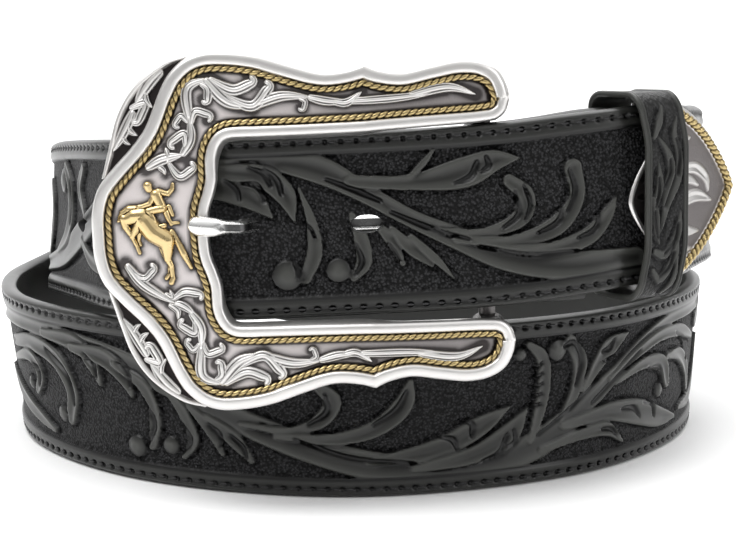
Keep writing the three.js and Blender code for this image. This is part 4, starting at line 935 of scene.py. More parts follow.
# Cast scrollwork: acanthus stems and leaves with two engraved lines each, some ending in a curl.
# Each runs through three places; the last two numbers set how wide it is and how large its curl.
scrolls = [
    ("upper", (0.14, 0.368), (0.179, 0.414), (0.233, 0.439), 1.05, 0),
    ("upper", (0.195, 0.4), (0.222, 0.321), (0.252, 0.357), 0.8, 0.7),
    ("upper", (0.17, 0.379), (0.183, 0.359), (0.187, 0.329), 0.55, 0),
    ("upper", (0.195, 0.394), (0.195, 0.445), (0.19, 0.484), 0.6, 0),
    ("lower", (0.079, 0.157), (0.118, 0.271), (0.196, 0.388), 1.0, 0),
    ("lower", (0.085, 0.187), (0.122, 0.241), (0.146, 0.197), 0.7, 0.65),
    ("lower", (0.169, 0.326), (0.188, 0.349), (0.182, 0.304), 0.5, 0),
    ("lower", (0.187, 0.364), (0.217, 0.321), (0.252, 0.33), 0.8, 0.6),
    ("lower", (0.177, 0.387), (0.199, 0.425), (0.198, 0.478), 0.6, 0),
    ("lower", (0.19, 0.38), (0.215, 0.402), (0.24, 0.45), 0.8, 0),
    ("both", (0.228, 0.43), (0.252, 0.525), (0.25, 0.647), 0.95, 0),
    ("both", (0.25, 0.63), (0.25, 0.8), (0.3, 0.85), 1.05, 0),
    ("both", (0.238, 0.449), (0.238, 0.552), (0.207, 0.515), 0.8, 0.75),
    ("both", (0.248, 0.61), (0.232, 0.65), (0.218, 0.617), 0.6, 0.6),
    ("both", (0.254, 0.6), (0.266, 0.671), (0.296, 0.655), 0.75, 0.7),
    ("both", (0.279, 0.825), (0.297, 0.795), (0.297, 0.735), 0.8, 0.5),
    ("both", (0.29, 0.85), (0.341, 0.722), (0.4, 0.68), 1.15, 0),
    ("both", (0.3, 0.85), (0.358, 0.781), (0.4, 0.812), 1.0, 0.75),
    ("both", (0.336, 0.75), (0.401, 0.69), (0.441, 0.785), 1.0, 0.65),
    ("both", (0.388, 0.68), (0.468, 0.738), (0.54, 0.726), 1.0, 0),
    ("both", (0.508, 0.722), (0.523, 0.704), (0.52, 0.669), 0.5, 0.4),
    ("both", (0.528, 0.728), (0.58, 0.7), (0.625, 0.7), 0.85, 0),
    ("both", (0.581, 0.704), (0.618, 0.69), (0.655, 0.746), 0.8, 0),
    ("both", (0.61, 0.694), (0.749, 0.707), (0.85, 0.735), 0.8, 0),
    ("both", (0.76, 0.714), (0.86, 0.75), (0.92, 0.704), 0.95, 0),
    ("wing", (0.192, 0.905), (0.162, 0.845), (0.122, 0.72), 1.15, 0),
    ("wing", (0.108, 0.7), (0.146, 0.722), (0.13, 0.635), 0.85, 1),
    ("wing", (0.148, 0.79), (0.15, 0.74), (0.163, 0.7), 0.6, 0),
    ("wing", (0.118, 0.69), (0.095, 0.585), (0.062, 0.465), 1.0, 0),
    ("wing", (0.1, 0.62), (0.108, 0.575), (0.124, 0.55), 0.6, 0),
    ("wing", (0.085, 0.56), (0.094, 0.52), (0.106, 0.5), 0.5, 0),
]
scroll_spread = 1.3
scroll_relief = 1.45
wing_relief = 1.0
wing_foot = 0.9
engraved_depth = 0.34


def hooked(line, turned, radius, sweep=3.1):
    """The line with its end curled round a circle, like the tip of an acanthus leaf."""
    ahead = (line[-1] - line[-2]) / np.linalg.norm(line[-1] - line[-2])
    centre = line[-1] + turned * radius * np.array([-ahead[1], ahead[0]])
    start = line[-1] - centre
    angle = turned * np.linspace(0, sweep, 28)[1:, None]
    cosine, sine = np.cos(angle), np.sin(angle)
    curl = np.hstack([start[0] * cosine - start[1] * sine, start[0] * sine + start[1] * cosine])
    return np.vstack([line, centre + curl])


def scroll_band(scroll, sign):
    """Points of one scroll stroke on the frame, how dark they are, its middle line and half width."""
    kind, start, bend, end, half, curl = scroll
    half = scroll_spread * half
    corners = np.array([(a * buckle_length, sign * b * half_height) for a, b in (start, bend, end)])
    line, lengths = bent_line(corners, 40)
    stem = lengths[-1]
    if curl:
        first, second = corners[1] - corners[0], corners[2] - corners[1]
        turned = np.sign(first[0] * second[1] - first[1] * second[0])
        line = hooked(line, turned, 0.25 + 0.55 * curl)
        steps = np.linalg.norm(np.diff(line, axis=0), axis=1)
        lengths = np.concatenate([[0], np.cumsum(steps)])
    count = 46
    place = lengths[-1] * (1 - np.cos(np.linspace(0, math.pi, count))) / 2
    along = np.stack([np.interp(place, lengths, line[:, k]) for k in range(2)], -1)
    ahead = np.gradient(along, axis=0)
    ahead /= np.linalg.norm(ahead, axis=1, keepdims=True)
    side = np.stack([-ahead[:, 1], ahead[:, 0]], -1)
    if curl:
        fullness = np.interp(place, (0, 0.45 * stem, 0.9 * stem, lengths[-1]), (0.5, 1.0, 1.05, 0.62))
    else:
        fullness = np.sin(np.pi * (0.16 + 0.83 * place / stem)) ** 0.7
    for from_end, cap in ((place, 0.5 * half), (lengths[-1] - place, 0.5 * half if curl else 0.15)):
        fullness = fullness * np.sqrt(np.maximum(0.001, 1 - np.maximum(0, 1 - from_end / cap) ** 2))
    across = np.array([-1, -0.94, -0.8, -0.62, -0.52, -0.44, -0.36, -0.26, 0,
                       0.26, 0.36, 0.44, 0.52, 0.62, 0.8, 0.94, 1])
    foot = wing_foot if kind == "wing" else ground_height - 0.4
    rise = (wing_relief if kind == "wing" else scroll_relief) * (0.45 + 0.55 * fullness[:, None])
    crown = (1 - np.abs(across[None]) ** 3.2) ** 0.5
    groove = np.exp(-((np.abs(across[None]) - 0.44) / 0.11) ** 2) * np.minimum(1, fullness[:, None]) ** 2
    height = foot + rise * crown - engraved_depth * groove
    height = np.hstack([height, np.full((count, 1), foot - 0.2)])
    reach = np.hstack([across[None] * fullness[:, None], np.zeros((count, 1))]) * half
    u = along[:, :1] + side[:, :1] * reach
    v = along[:, 1:] + side[:, 1:] * reach
    rings = on_buckle(u, v, height)
    shade = np.maximum(0.95 * groove, eased(0.9, 1, np.abs(across))[None])
    shade = np.hstack([shade, np.ones((count, 1))])
    return rings, shade, along, half * fullness


bands = []
for scroll in scrolls:
    if scroll[0] != "lower":
        bands.append(scroll_band(scroll, 1))
    if scroll[0] != "upper":
        bands.append(scroll_band(scroll, -1))
scroll_points, scroll_faces, scroll_shade = [], [], []
for rings, shade, _, _ in bands:
    add_to(scroll_points, scroll_faces, rings, skin(rings))
    scroll_shade.append(shade.ravel())
scroll_shade = np.concatenate(scroll_shade)
scrollwork = add_piece("cast_scrollwork", np.vstack(scroll_points), scroll_faces,
                       values={"tarnish_and_shade": scroll_shade, "sunk": 0 * scroll_shade})

# Forms of the horse and rider on the arch: two places and radii in millimetres of the buckle, and
# a lift above the ground. The painted shadow on the ground below follows their outline.
rider_limbs = [
    (12.5, 10.2, 0.78, 12.7, 9.5, 0.62, 1.1), (13.3, 9.0, 0.42, 13.9, 8.4, 0.5, 1.0),
    (14.1, 8.3, 0.98, 15.0, 6.2, 0.86, 1.0), (15.0, 6.2, 0.86, 15.3, 5.6, 0.8, 1.0),
    (14.6, 9.0, 0.5, 16.6, 8.4, 0.42, 0.9), (16.6, 8.4, 0.42, 17.5, 9.3, 0.34, 0.8),
    (17.5, 9.3, 0.34, 17.7, 10.4, 0.26, 0.8), (13.7, 7.9, 0.46, 12.7, 6.5, 0.4, 1.3),
    (12.7, 6.5, 0.4, 11.1, 6.0, 0.34, 1.4), (11.1, 6.0, 0.34, 10.4, 5.9, 0.38, 1.4),
    (15.2, 5.5, 0.74, 12.4, 5.0, 0.6, 1.4), (12.4, 5.0, 0.6, 13.3, 3.4, 0.46, 1.5),
    (13.3, 3.4, 0.46, 13.7, 2.2, 0.38, 1.5), (13.8, 2.0, 0.42, 13.0, 1.75, 0.34, 1.5),
    (15.8, 4.9, 0.5, 16.4, 3.2, 0.4, 0.6), (16.4, 3.2, 0.4, 16.9, 2.2, 0.36, 0.6),
    (16.6, 5.8, 0.42, 17.3, 4.0, 0.3, 0.4), (17.4, 2.4, 0.3, 18.5, 2.4, 0.22, 0.4),
    (11.4, 3.1, 1.9, 13.2, 0.6, 1.95, 0.6), (13.2, 0.6, 1.95, 15.5, -0.9, 1.8, 0.6),
    (10.9, 4.1, 1.62, 9.4, 4.0, 1.5, 0.7), (9.4, 4.0, 1.5, 8.0, 3.5, 1.2, 0.7),
    (10.2, 5.5, 0.62, 8.3, 5.4, 0.72, 0.8), (8.3, 5.4, 0.72, 6.9, 4.6, 0.62, 0.7),
    (6.9, 4.6, 0.62, 6.2, 3.5, 0.4, 0.6),
    (7.2, 3.5, 0.9, 7.4, 2.0, 0.72, 0.9), (7.4, 2.0, 0.72, 8.2, 0.5, 0.46, 0.9),
    (6.5, 3.4, 0.3, 5.8, 3.0, 0.16, 0.9),
    (10.2, 2.4, 0.95, 9.2, 0.8, 0.6, 1.0), (9.2, 0.8, 0.6, 8.6, -0.2, 0.42, 1.0),
    (8.6, -0.2, 0.36, 9.4, -2.0, 0.28, 0.8),
    (9.4, -2.0, 0.28, 10.0, -3.6, 0.3, 0.7), (10.2, 1.2, 0.5, 9.9, -1.0, 0.3, 0.4),
    (9.9, -1.0, 0.3, 10.3, -2.0, 0.26, 0.4),
    (15.8, -1.2, 1.5, 15.9, -3.4, 0.95, 0.9), (15.9, -3.4, 0.95, 15.8, -5.0, 0.62, 0.9),
    (15.8, -5.0, 0.6, 16.5, -6.4, 0.42, 0.8), (16.5, -6.4, 0.42, 16.7, -9.0, 0.34, 0.7),
    (16.7, -9.0, 0.4, 16.3, -9.9, 0.46, 0.7), (14.8, -2.2, 0.8, 15.1, -4.2, 0.45, 0.3),
    (15.1, -4.2, 0.45, 16.0, -6.0, 0.32, 0.3), (16.0, -6.0, 0.32, 15.9, -8.2, 0.26, 0.3),
    (15.9, -8.2, 0.34, 15.3, -9.0, 0.4, 0.3),
    (16.9, 0.6, 0.5, 18.0, -1.4, 0.5, 0.6), (18.0, -1.4, 0.5, 19.2, -4.0, 0.62, 0.6),
    (19.2, -4.0, 0.62, 20.6, -6.9, 0.3, 0.5),
    (12.6, 2.6, 0.34, 14.2, 1.7, 0.34, 1.7), (14.2, 1.7, 0.34, 15.6, 2.0, 0.4, 1.5),
]
limb_growth = 1.12
near_work = np.full(len(flat), 9.0)
for u1, v1, r1, u2, v2, r2, _ in rider_limbs:
    line = np.stack([np.linspace(u1, u2, 8), np.linspace(v1, v2, 8)], -1)
    near_work = np.minimum(near_work, least_distance(flat, line) - limb_growth * (r1 + r2) / 2 - 0.15)
for _, _, along, half in bands:
    near_work = np.minimum(near_work, least_distance(flat, along) - half.max())
near_work = near_work.reshape(top.shape)
# The sunk ground's tone: darker towards the arms' ends, with painted shadow beside the raised work and by
# the ropes.
in_ground = eased(2.82, 3.0, from_outer) * eased(2.3, 2.45, from_inner)
arm_shade = 0.04 + 0.56 * eased(0.22, 0.85, places[..., 0] / buckle_length)
painted_shadow_by_work = np.exp(-(np.maximum(near_work, 0) / 0.5) ** 1.2)
from_ropes = np.minimum(from_outer - border_reach, from_inner - lip_reach)
painted_shadow_by_rope = np.exp(-np.maximum(from_ropes + 0.1, 0) / 0.25)
tarnish_and_shade = in_ground * (arm_shade + (1 - arm_shade) * np.maximum(0.9 * painted_shadow_by_work, painted_shadow_by_rope))
unseen = np.zeros((len(edges), frame_rings.shape[1] - top.shape[1]))
buckle_frame = add_piece("buckle_casting", frame_rings, skin(frame_rings), values={
    "tarnish_and_shade": np.hstack([tarnish_and_shade, unseen]),
    "sunk": np.hstack([in_ground, unseen]),
})

# Wings: the low leafy plates outside the border at the horseshoe's two corners
wing_rows = [
    (0.03, 0.315, 0.05, 0.33), (0.037, 0.37, 0.078, 0.39), (0.057, 0.53, 0.115, 0.475),
    (0.073, 0.645, 0.14, 0.555), (0.095, 0.742, 0.155, 0.62), (0.12, 0.817, 0.17, 0.68),
    (0.148, 0.875, 0.185, 0.76), (0.177, 0.922, 0.205, 0.84), (0.206, 0.957, 0.23, 0.91),
    (0.25, 0.982, 0.265, 0.955),
]
wing_points, wing_faces, wing_tarnish = [], [], []
for sign in (1, -1):
    rows = [(a * buckle_length, sign * b * half_height, c * buckle_length, sign * d * half_height)
            for a, b, c, d in wing_rows]
    line, lengths = bent_line(rows, 30)
    places = np.linspace(0, lengths[-1], 110)
    pairs = np.stack([np.interp(places, lengths, line[:, k]) for k in range(4)], -1)
    across = (np.linspace(0, 1, 24) ** 1.7)[None, :, None]
    plate = pairs[:, None, :2] * (1 - across) + pairs[:, None, 2:] * across
    width = np.linalg.norm(pairs[:, :2] - pairs[:, 2:], axis=1)[:, None]
    reach = across[..., 0] * width
    height = np.interp(reach, (0, 0.15, 0.4, 0.8, 1.1, 1.3), (0.6, 1.6, 2.0, 2.1, 1.7, 1.0))
    rings = np.concatenate([
        on_buckle(plate[..., 0], plate[..., 1], height),
        on_buckle(pairs[:, 2:3], pairs[:, 3:4], 0.3),
        on_buckle(pairs[:, 0:1], pairs[:, 1:2], 0.3),
    ], axis=1)
    add_to(wing_points, wing_faces, rings, skin(rings))
    wing_tarnish.append(np.hstack([eased(1.15, 1.35, reach), np.zeros((len(pairs), 2))]).ravel())
wing_tarnish = np.concatenate(wing_tarnish)
wings = add_piece("buckle_wings", np.vstack(wing_points), wing_faces,
                  values={"tarnish_and_shade": wing_tarnish, "sunk": wing_tarnish})

# Heel bar and the two lugs that carry it
bar_reach = 22.1
lug_half_length = 3.2
lug_half_width = 1.6
lug_from_window = 2.9
bar_offset = heel_bar - buckle_origin
bar_u = bar_offset @ buckle_right + buckle_length / 2
bar_back = bar_offset @ buckle_back
turn = np.linspace(0, 2 * math.pi, 24, endpoint=False)[None]
bar_rings = behind_buckle(bar_u + bar_radius * np.cos(turn), np.array([[-bar_reach], [bar_reach]]),
                          bar_back + bar_radius * np.sin(turn))
heel_points, heel_faces = [], []
add_to(heel_points, heel_faces, bar_rings, skin(bar_rings))
# The lugs' section is an oval with nearly square corners; they taper towards the bar.
lug_corner = np.linspace(0, 2 * math.pi, 20, endpoint=False)[None] + 0.01
lug_round = np.sign(np.cos(lug_corner)) * np.abs(np.cos(lug_corner)) ** 0.5
lug_side = np.sign(np.sin(lug_corner)) * np.abs(np.sin(lug_corner)) ** 0.5
lug_levels = (
    (buckle_sweep(bar_u - lug_half_length) - 0.8, lug_half_length),
    (bar_back - 1, lug_half_length),
    (bar_back + bar_radius, lug_half_length - 1),
    (bar_back + bar_radius + 0.4, lug_half_length - 1.4),
)
for sign in (1, -1):
    lug_rise = sign * (half_window + lug_from_window) + lug_half_width * lug_side
    lug_rings = np.concatenate([
        behind_buckle(bar_u + half * lug_round, lug_rise, back) for back, half in lug_levels
    ], axis=0)
    add_to(heel_points, heel_faces, lug_rings, skin(lug_rings))
heel_points = np.vstack(heel_points)
# Painted shade: the heel bar and lugs are darkened all over, as they stand in shade behind the arms.
heel_painted_shade = np.full(len(heel_points), 0.85)
heel = add_piece("heel_bar_and_lugs", heel_points, heel_faces,
                 values={"tarnish_and_shade": heel_painted_shade, "sunk": 0 * heel_painted_shade})
heel.data.set_sharp_from_angle(angle=math.radians(50))


def silver():
    """Polished silver plate, blackened where it is sunk, with painted shade beside raised work, by the
    ropes, on the heel bar and in the keeper's shadow on the tip.
    """
    material, tree, surface = new_material("silver_plate", Metallic=1.0)
    place = node(tree, "ShaderNodeTexCoord").outputs["Object"]
    sunk = painted(tree, "sunk")
    ground = blended(tree, sunk, (0.76, 0.745, 0.73, 1), (0.78, 0.735, 0.73, 1))
    tone = effect(tree, "hollows", Depth=painted(tree, "tarnish_and_shade"), Shallow=0.0, Deep=1.0,
                  Clean=ground, Dark=(0.035, 0.03, 0.03, 1))
    feed(tree, surface.inputs["Base Color"], tone["Colour"])
    wear = effect(tree, "wear", Vector=place, Scale=140.0, Detail=4.0, Smoothest=0.32, Roughest=0.44,
                  Mask=sunk, Under_Mask=0.26)
    feed(tree, surface.inputs["Roughness"], wear["Roughness"])
    speckle = effect(tree, "stamping", Vector=place, Scale=2100.0, Mask=sunk)
    bump = node(tree, "ShaderNodeBump", Strength=0.35, Distance=0.0001, Height=speckle["Height"])
    feed(tree, surface.inputs["Normal"], bump.outputs["Normal"])
    return material


silver_plate = silver()
for piece in (buckle_frame, scrollwork, wings, heel):
    piece.data.materials.append(silver_plate)
    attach(piece, "root")
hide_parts("buckle_frame")


# Gold rope: a twisted wire border soldered in the channel between border, ground and lip. It is one
# endless loop: out along the border, round the ends of the arms and back along the lip.
rope_radius = 0.68
rope_pitch = 3.1
rope_lift = 0.45
rope_offset = 3.2
rope_strands = 2
around_rope = 24
outer_share = 0.5 / frame_width
boundary = np.vstack([outer_edge * (1 - outer_share) + inner_edge * outer_share, inner_edge[::-1]])
boundary = boundary[np.r_[True, np.linalg.norm(np.diff(boundary, axis=0), axis=1) > 1e-3]]


def inside_line(closed, offset, step):
    """A closed line a given distance inside another, without its folds, evenly spaced."""
    ahead = np.roll(closed, -1, 0) - np.roll(closed, 1, 0)
    ahead /= np.linalg.norm(ahead, axis=1, keepdims=True)
    shifted = closed + offset * np.stack([-ahead[:, 1], ahead[:, 0]], -1)
    shifted = shifted[least_distance(shifted, closed) > offset - 0.06]
    looped = np.vstack([shifted, shifted[:1]])
    lengths = np.concatenate([[0], np.cumsum(np.linalg.norm(np.diff(looped, axis=0), axis=1))])
    count = int(lengths[-1] / step)
    even = np.linspace(0, lengths[-1], count, endpoint=False)
    line = np.stack([np.interp(even, lengths, looped[:, k]) for k in range(2)], -1)
    for _ in range(6):
        line = (np.roll(line, 1, 0) + 2 * line + np.roll(line, -1, 0)) / 4
    return line


def twisted_rope(line, place_of, radius, pitch):
    """Rings of a rope of twisted strands along a line of places; returns how deep each point lies."""
    points = place_of(line, 0)
    up = place_of(line, 1) - points
    up /= np.linalg.norm(up, axis=1, keepdims=True)
    ahead = np.gradient(points, axis=0)
    ahead /= np.linalg.norm(ahead, axis=1, keepdims=True)
    side = np.cross(ahead, up)
    side /= np.linalg.norm(side, axis=1, keepdims=True)
    steps = np.linalg.norm(np.diff(points, axis=0), axis=1)
    lengths = np.concatenate([[0], np.cumsum(steps)])
    turns = np.round(lengths[-1] / pitch)
    twist = 2 * np.pi * turns * lengths / lengths[-1]
    angle = np.linspace(0, 2 * np.pi, around_rope, endpoint=False)[None]
    lobes = np.abs(np.cos(rope_strands * (angle - twist[:, None]) / 2))
    girth = radius * (0.66 + 0.34 * lobes ** 0.7)
    rings = (points[:, None] + side[:, None] * (girth * np.cos(angle))[..., None]
             + up[:, None] * (girth * np.sin(angle))[..., None])
    return rings, 1 - lobes


rope_line = inside_line(boundary, rope_offset, 0.18)
rope_rings, rope_depth = twisted_rope(
    rope_line, lambda line, lift: on_buckle(line[:, 0], line[:, 1], ground_height + rope_lift + lift),
    rope_radius, rope_pitch)
# The depth value gives painted shade between the strands.
buckle_rope = add_piece("buckle_rope", rope_rings, skin(rope_rings, capped=False),
                        values={"depth": rope_depth})


def gold_plate(name, colour):
    """Gold plate, its own colour on the high places, with brown painted shade in the hollows."""
    material, tree, surface = new_material(name, Metallic=1.0)
    place = node(tree, "ShaderNodeTexCoord").outputs["Object"]
    tone = effect(tree, "hollows", Depth=painted(tree, "depth"), Shallow=0.3, Deep=0.85,
                  Clean=colour, Dark=(0.05, 0.028, 0.01, 1))
    feed(tree, surface.inputs["Base Color"], tone["Colour"])
    wear = effect(tree, "wear", Vector=place, Scale=260.0, Detail=3.0, Smoothest=0.2, Roughest=0.36)
    feed(tree, surface.inputs["Roughness"], wear["Roughness"])
    return material


gold = gold_plate("old_gold_plate", (0.5, 0.39, 0.19, 1))
buckle_rope.data.materials.append(gold)
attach(buckle_rope, "root")

# Bucking horse and rider: a small gilded casting on the arch, of tapered, rounded forms that are
# melted into one.
rings_of_limb = 10
around_limb = 16


def limb_rings(limb):
    """Rings of one tapered form with round ends, in flat places and a height above the ground."""
    u1, v1, r1, u2, v2, r2, lift = limb
    r1, r2 = limb_growth * r1 + 0.08, limb_growth * r2 + 0.08
    start, end = np.array([u1, v1]), np.array([u2, v2])
    ahead = (end - start) / np.linalg.norm(end - start)
    side = np.array([-ahead[1], ahead[0]])
    half_turn = np.linspace(0.05, math.pi / 2, rings_of_limb // 2)
    stations = [(start - ahead * r1 * math.cos(a), r1 * math.sin(a)) for a in half_turn]
    stations += [(end + ahead * r2 * math.cos(a), r2 * math.sin(a)) for a in half_turn[::-1]]
    around = np.linspace(0, 2 * math.pi, around_limb, endpoint=False)
    rings = []
    for place, radius in stations:
        flat_part = place[None] + side[None] * (radius * np.cos(around))[:, None]
        rings.append(np.column_stack([flat_part, lift * 0.8 + 0.85 * radius * np.sin(around)]))
    return np.stack(rings)


def melted(name, ring_sets, voxel, smoothing):
    """Joins overlapping forms into one skin; returns its points and faces, still in flat places."""
    points, faces = [], []
    for rings in ring_sets:
        add_to(points, faces, rings, skin(rings))
    mesh = bpy.data.meshes.new(name)
    mesh.from_pydata(np.vstack(points).tolist(), [], faces)
    lump = bpy.data.objects.new(name, mesh)
    bpy.context.collection.objects.link(lump)
    remesh = lump.modifiers.new("melt", "REMESH")
    remesh.mode = "VOXEL"
    remesh.voxel_size = voxel
    soften = lump.modifiers.new("soften", "SMOOTH")
    soften.factor = 0.5
    soften.iterations = smoothing
    whole = bpy.data.meshes.new_from_object(lump.evaluated_get(bpy.context.evaluated_depsgraph_get()))
    places = np.zeros(len(whole.vertices) * 3)
    whole.vertices.foreach_get("co", places)
    skin_faces = [list(face.vertices) for face in whole.polygons]
    bpy.data.objects.remove(lump)
    return places.reshape(-1, 3), skin_faces


# The creases between the forms are found from the skin itself; they and the forms' low parts near the
# ground get painted shade.
rider_places, rider_faces = melted("rider", [limb_rings(limb) for limb in rider_limbs], 0.13, 1)
rider_height = ground_height - 0.25 + rider_places[:, 2]
rider_points = on_buckle(rider_places[:, 0], rider_places[:, 1], rider_height)
corners = np.array([face if len(face) == 4 else face + face[-1:] for face in rider_faces])
facing = np.cross(rider_places[corners[:, 2]] - rider_places[corners[:, 0]],
                  rider_places[corners[:, 3]] - rider_places[corners[:, 1]])
outward_of = np.zeros(rider_places.shape)
around_of = np.zeros(rider_places.shape)
shared = np.zeros(len(rider_places))
for k in range(4):
    np.add.at(outward_of, corners[:, k], facing)
    np.add.at(around_of, corners[:, k], rider_places[corners].mean(1))
    np.add.at(shared, corners[:, k], 1)
outward_of /= np.linalg.norm(outward_of, axis=1, keepdims=True) + 1e-9
crease = ((around_of / shared[:, None] - rider_places) * outward_of).sum(1)
for _ in range(2):
    spread = np.zeros(len(crease))
    for k in range(4):
        np.add.at(spread, corners[:, k], crease[corners].mean(1))
    crease = spread / shared
rider_painted_shade = np.maximum(1 - eased(0.2, 0.9, rider_places[:, 2]), eased(0.0006, 0.005, crease))
rider = add_piece("horse_and_rider", rider_points, rider_faces, values={"depth": rider_painted_shade})
rider.data.materials.append(gold_plate("bright_gold_plate", (0.7, 0.54, 0.28, 1)))
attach(rider, "root")

# Prong: forged steel, looped round the heel bar. It runs behind the billet, comes out through the
# used hole and rests its domed tip on the arch. A groove runs between its bright bevels; its dark
# colour is a painted reflection.
prong_width = 3.0
prong_tip_width = 4.0
prong_thickness = 2.0
# Its middle line crosses the leather a little behind the middle of the drawn-out hole.
hole_u = arch_depth + hole_from_arch + drawn_out + 0.5
shank_depth = strap_thickness / 2 + 2 * part_gap + prong_thickness / 2
tip_depth = buckle_sweep(arch_depth) - border_profile[:, 1].max() - part_gap - prong_thickness / 2


def billet_depth(u):
    """How far behind the buckle the billet's middle line runs, at a place along the buckle."""
    place = beside_billet(window_middle - (u - buckle_length / 2), 0, 0)
    return (place - buckle_origin) @ buckle_back


# Places of its middle line: along the buckle, up and back
shank_rise = 0.35
prong_rise = 0.85
prong_rows = []
for share in (0.8, 0.6, 0.42, 0.28):
    u = hole_u + (bar_u - hole_u) * share
    prong_rows.append((u, shank_rise, billet_depth(u) + shank_depth))
prong_rows += [
    (hole_u + 6.5, prong_rise, billet_depth(hole_u + 6.5) + shank_depth),
    (hole_u + 3.5, prong_rise, billet_depth(hole_u) + shank_depth * 0.45),
    (hole_u, prong_rise + 0.24, billet_depth(hole_u) - shank_depth * 0.7),
    (arch_depth + 6.9, prong_rise + 0.3, tip_depth + 1.3),
    (arch_depth + 4.4, prong_rise + 0.5, tip_depth + 0.45),
    (arch_depth + 0.6, prong_rise + 0.72, tip_depth + 0.1),
    (arch_depth - 1.5, prong_rise + 0.96, tip_depth),
    (arch_depth - 3.9, prong_rise + 1.15, tip_depth + 0.2),
]
prong_line, prong_lengths = bent_line(prong_rows, 60)
prong_end = prong_lengths[-1]
nose = 2.2
dome_length = 8.4
neck_length = 18.0
neck_waist = 0.3
prong_places = np.concatenate([
    np.linspace(0, prong_end - nose, 90),
    prong_end - nose * (1 - np.sin(np.linspace(0.1, math.pi / 2, 12))),
])
# Sections of the shank, with its groove, and of the domed tip: shares of its half width and depth
profile = np.array([
    (-0.92, -1), (-1, -0.86), (-1, -0.1), (-0.95, 0.08), (-0.62, 0.92), (-0.54, 1), (-0.46, 0.7),
    (0.46, 0.7), (0.54, 1), (0.62, 0.92), (0.95, 0.08), (1, -0.1), (1, -0.86), (0.92, -1),
])
domed = np.array([
    (-0.92, -1), (-1, -0.86), (-1, -0.3), (-0.93, 0.1), (-0.72, 0.5), (-0.5, 0.76), (-0.07, 0.93),
    (0.07, 0.93), (0.5, 0.76), (0.72, 0.5), (0.93, 0.1), (1, -0.3), (1, -0.86), (0.92, -1),
])
in_groove = np.zeros(len(profile))
in_groove[6:8] = 1
prong_groove = []
prong_rings = []
for place in prong_places:
    u, v, back = (np.interp(place, prong_lengths, prong_line[:, k]) for k in range(3))
    ahead = [np.interp(place + 0.05, prong_lengths, prong_line[:, k])
             - np.interp(place - 0.05, prong_lengths, prong_line[:, k]) for k in range(3)]
    if place > prong_end - 0.06:
        ahead = prong_line[-1] - prong_line[-2]
    normal = np.array([-ahead[2], ahead[0]]) / math.hypot(ahead[0], ahead[2])
    widening = eased(prong_end - dome_length, prong_end - 4.8, place)
    narrowing = eased(prong_end - neck_length, prong_end - 13, place) * (1 - widening)
    roundness = math.sqrt(max(0.0, 1 - max(0.0, 1 - (prong_end - place) / nose) ** 2))
    width = prong_width + (prong_tip_width - prong_width) * widening - neck_waist * narrowing
    half = width / 2 * max(0.12, roundness)
    thick = prong_thickness / 2
    across = profile[:, 0] * (1 - widening) + domed[:, 0] * widening
    level = profile[:, 1] * (1 - widening) + domed[:, 1] * widening
    level = level * np.where(level > 0, roundness, 0.6 + 0.4 * roundness)
    prong_groove.append(in_groove * (1 - widening))
    prong_rings.append(behind_buckle(u + normal[0] * thick * level, v + half * across,
                                     back + normal[1] * thick * level))
prong_rings = np.stack(prong_rings)
prong_points, prong_faces = [], []
add_to(prong_points, prong_faces, prong_rings, skin(prong_rings))
# The loop round the heel bar, and the neck between the loop and the shank
loop_wall = 1.4
loop_radius = bar_radius + part_gap + loop_wall / 2
turn = np.linspace(0, 2 * math.pi, 40, endpoint=False)[:, None]
wall_profile = np.array([
    (-1, -0.8), (-0.9, -1), (0.9, -1), (1, -0.8), (1, 0.8), (0.9, 1), (-0.9, 1), (-1, 0.8),
])
reach = loop_radius + loop_wall / 2 * wall_profile[None, :, 1]
loop_rings = behind_buckle(bar_u + reach * np.cos(turn), prong_width / 2 * wall_profile[None, :, 0],
                           bar_back + reach * np.sin(turn))
add_to(prong_points, prong_faces, loop_rings, skin(loop_rings, capped=False))
heel_place = np.array([bar_u, bar_back])
first_place = np.array([prong_rows[0][0], prong_rows[0][2]])
neck_ahead = (first_place - heel_place) / np.linalg.norm(first_place - heel_place)
neck_side = np.array([neck_ahead[1], -neck_ahead[0]])
neck_rings = np.stack([
    behind_buckle(place[0] + neck_side[0] * loop_wall / 2 * wall_profile[:, 1],
                  shank_rise / 2 + prong_width / 2 * wall_profile[:, 0],
                  place[1] + neck_side[1] * loop_wall / 2 * wall_profile[:, 1])
    for place in (heel_place + neck_ahead * loop_radius, first_place + neck_ahead * prong_thickness)
])
add_to(prong_points, prong_faces, neck_rings, skin(neck_rings))
prong_points = np.vstack(prong_points)
prong_groove = np.concatenate(prong_groove)
prong_groove = np.concatenate([prong_groove, np.zeros(len(prong_points) - len(prong_groove))])
prong = add_piece("steel_prong", prong_points, prong_faces, values={"sunk": prong_groove})
prong.data.set_sharp_from_angle(angle=math.radians(32))


def polished_steel():
    """Polished steel with fine brush marks, and a painted dark reflection in its groove."""
    material, tree, surface = new_material("polished_steel", Metallic=1.0)
    place = node(tree, "ShaderNodeTexCoord").outputs["Object"]
    tone = effect(tree, "hollows", Depth=painted(tree, "sunk"), Shallow=0.0, Deep=1.0,
                  Clean=(0.9, 0.9, 0.89, 1), Dark=(0.12, 0.12, 0.12, 1))
    feed(tree, surface.inputs["Base Color"], tone["Colour"])
    wear = effect(tree, "wear", Vector=place, Scale=500.0, Detail=3.0, Smoothest=0.22, Roughest=0.32)
    feed(tree, surface.inputs["Roughness"], wear["Roughness"])
    return material


steel = polished_steel()
prong.data.materials.append(steel)
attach(prong, "root")
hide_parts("prong")

# Fold screws: two steel Chicago screws that clamp the folded end of the strap, each a post through
# both layers with a flat head at either end. Their own solids are shown, in polished steel.
for screw in ("fold_screw_upper", "fold_screw_lower"):
    bpy.data.objects[screw].data.materials.clear()
    bpy.data.objects[screw].data.materials.append(steel)

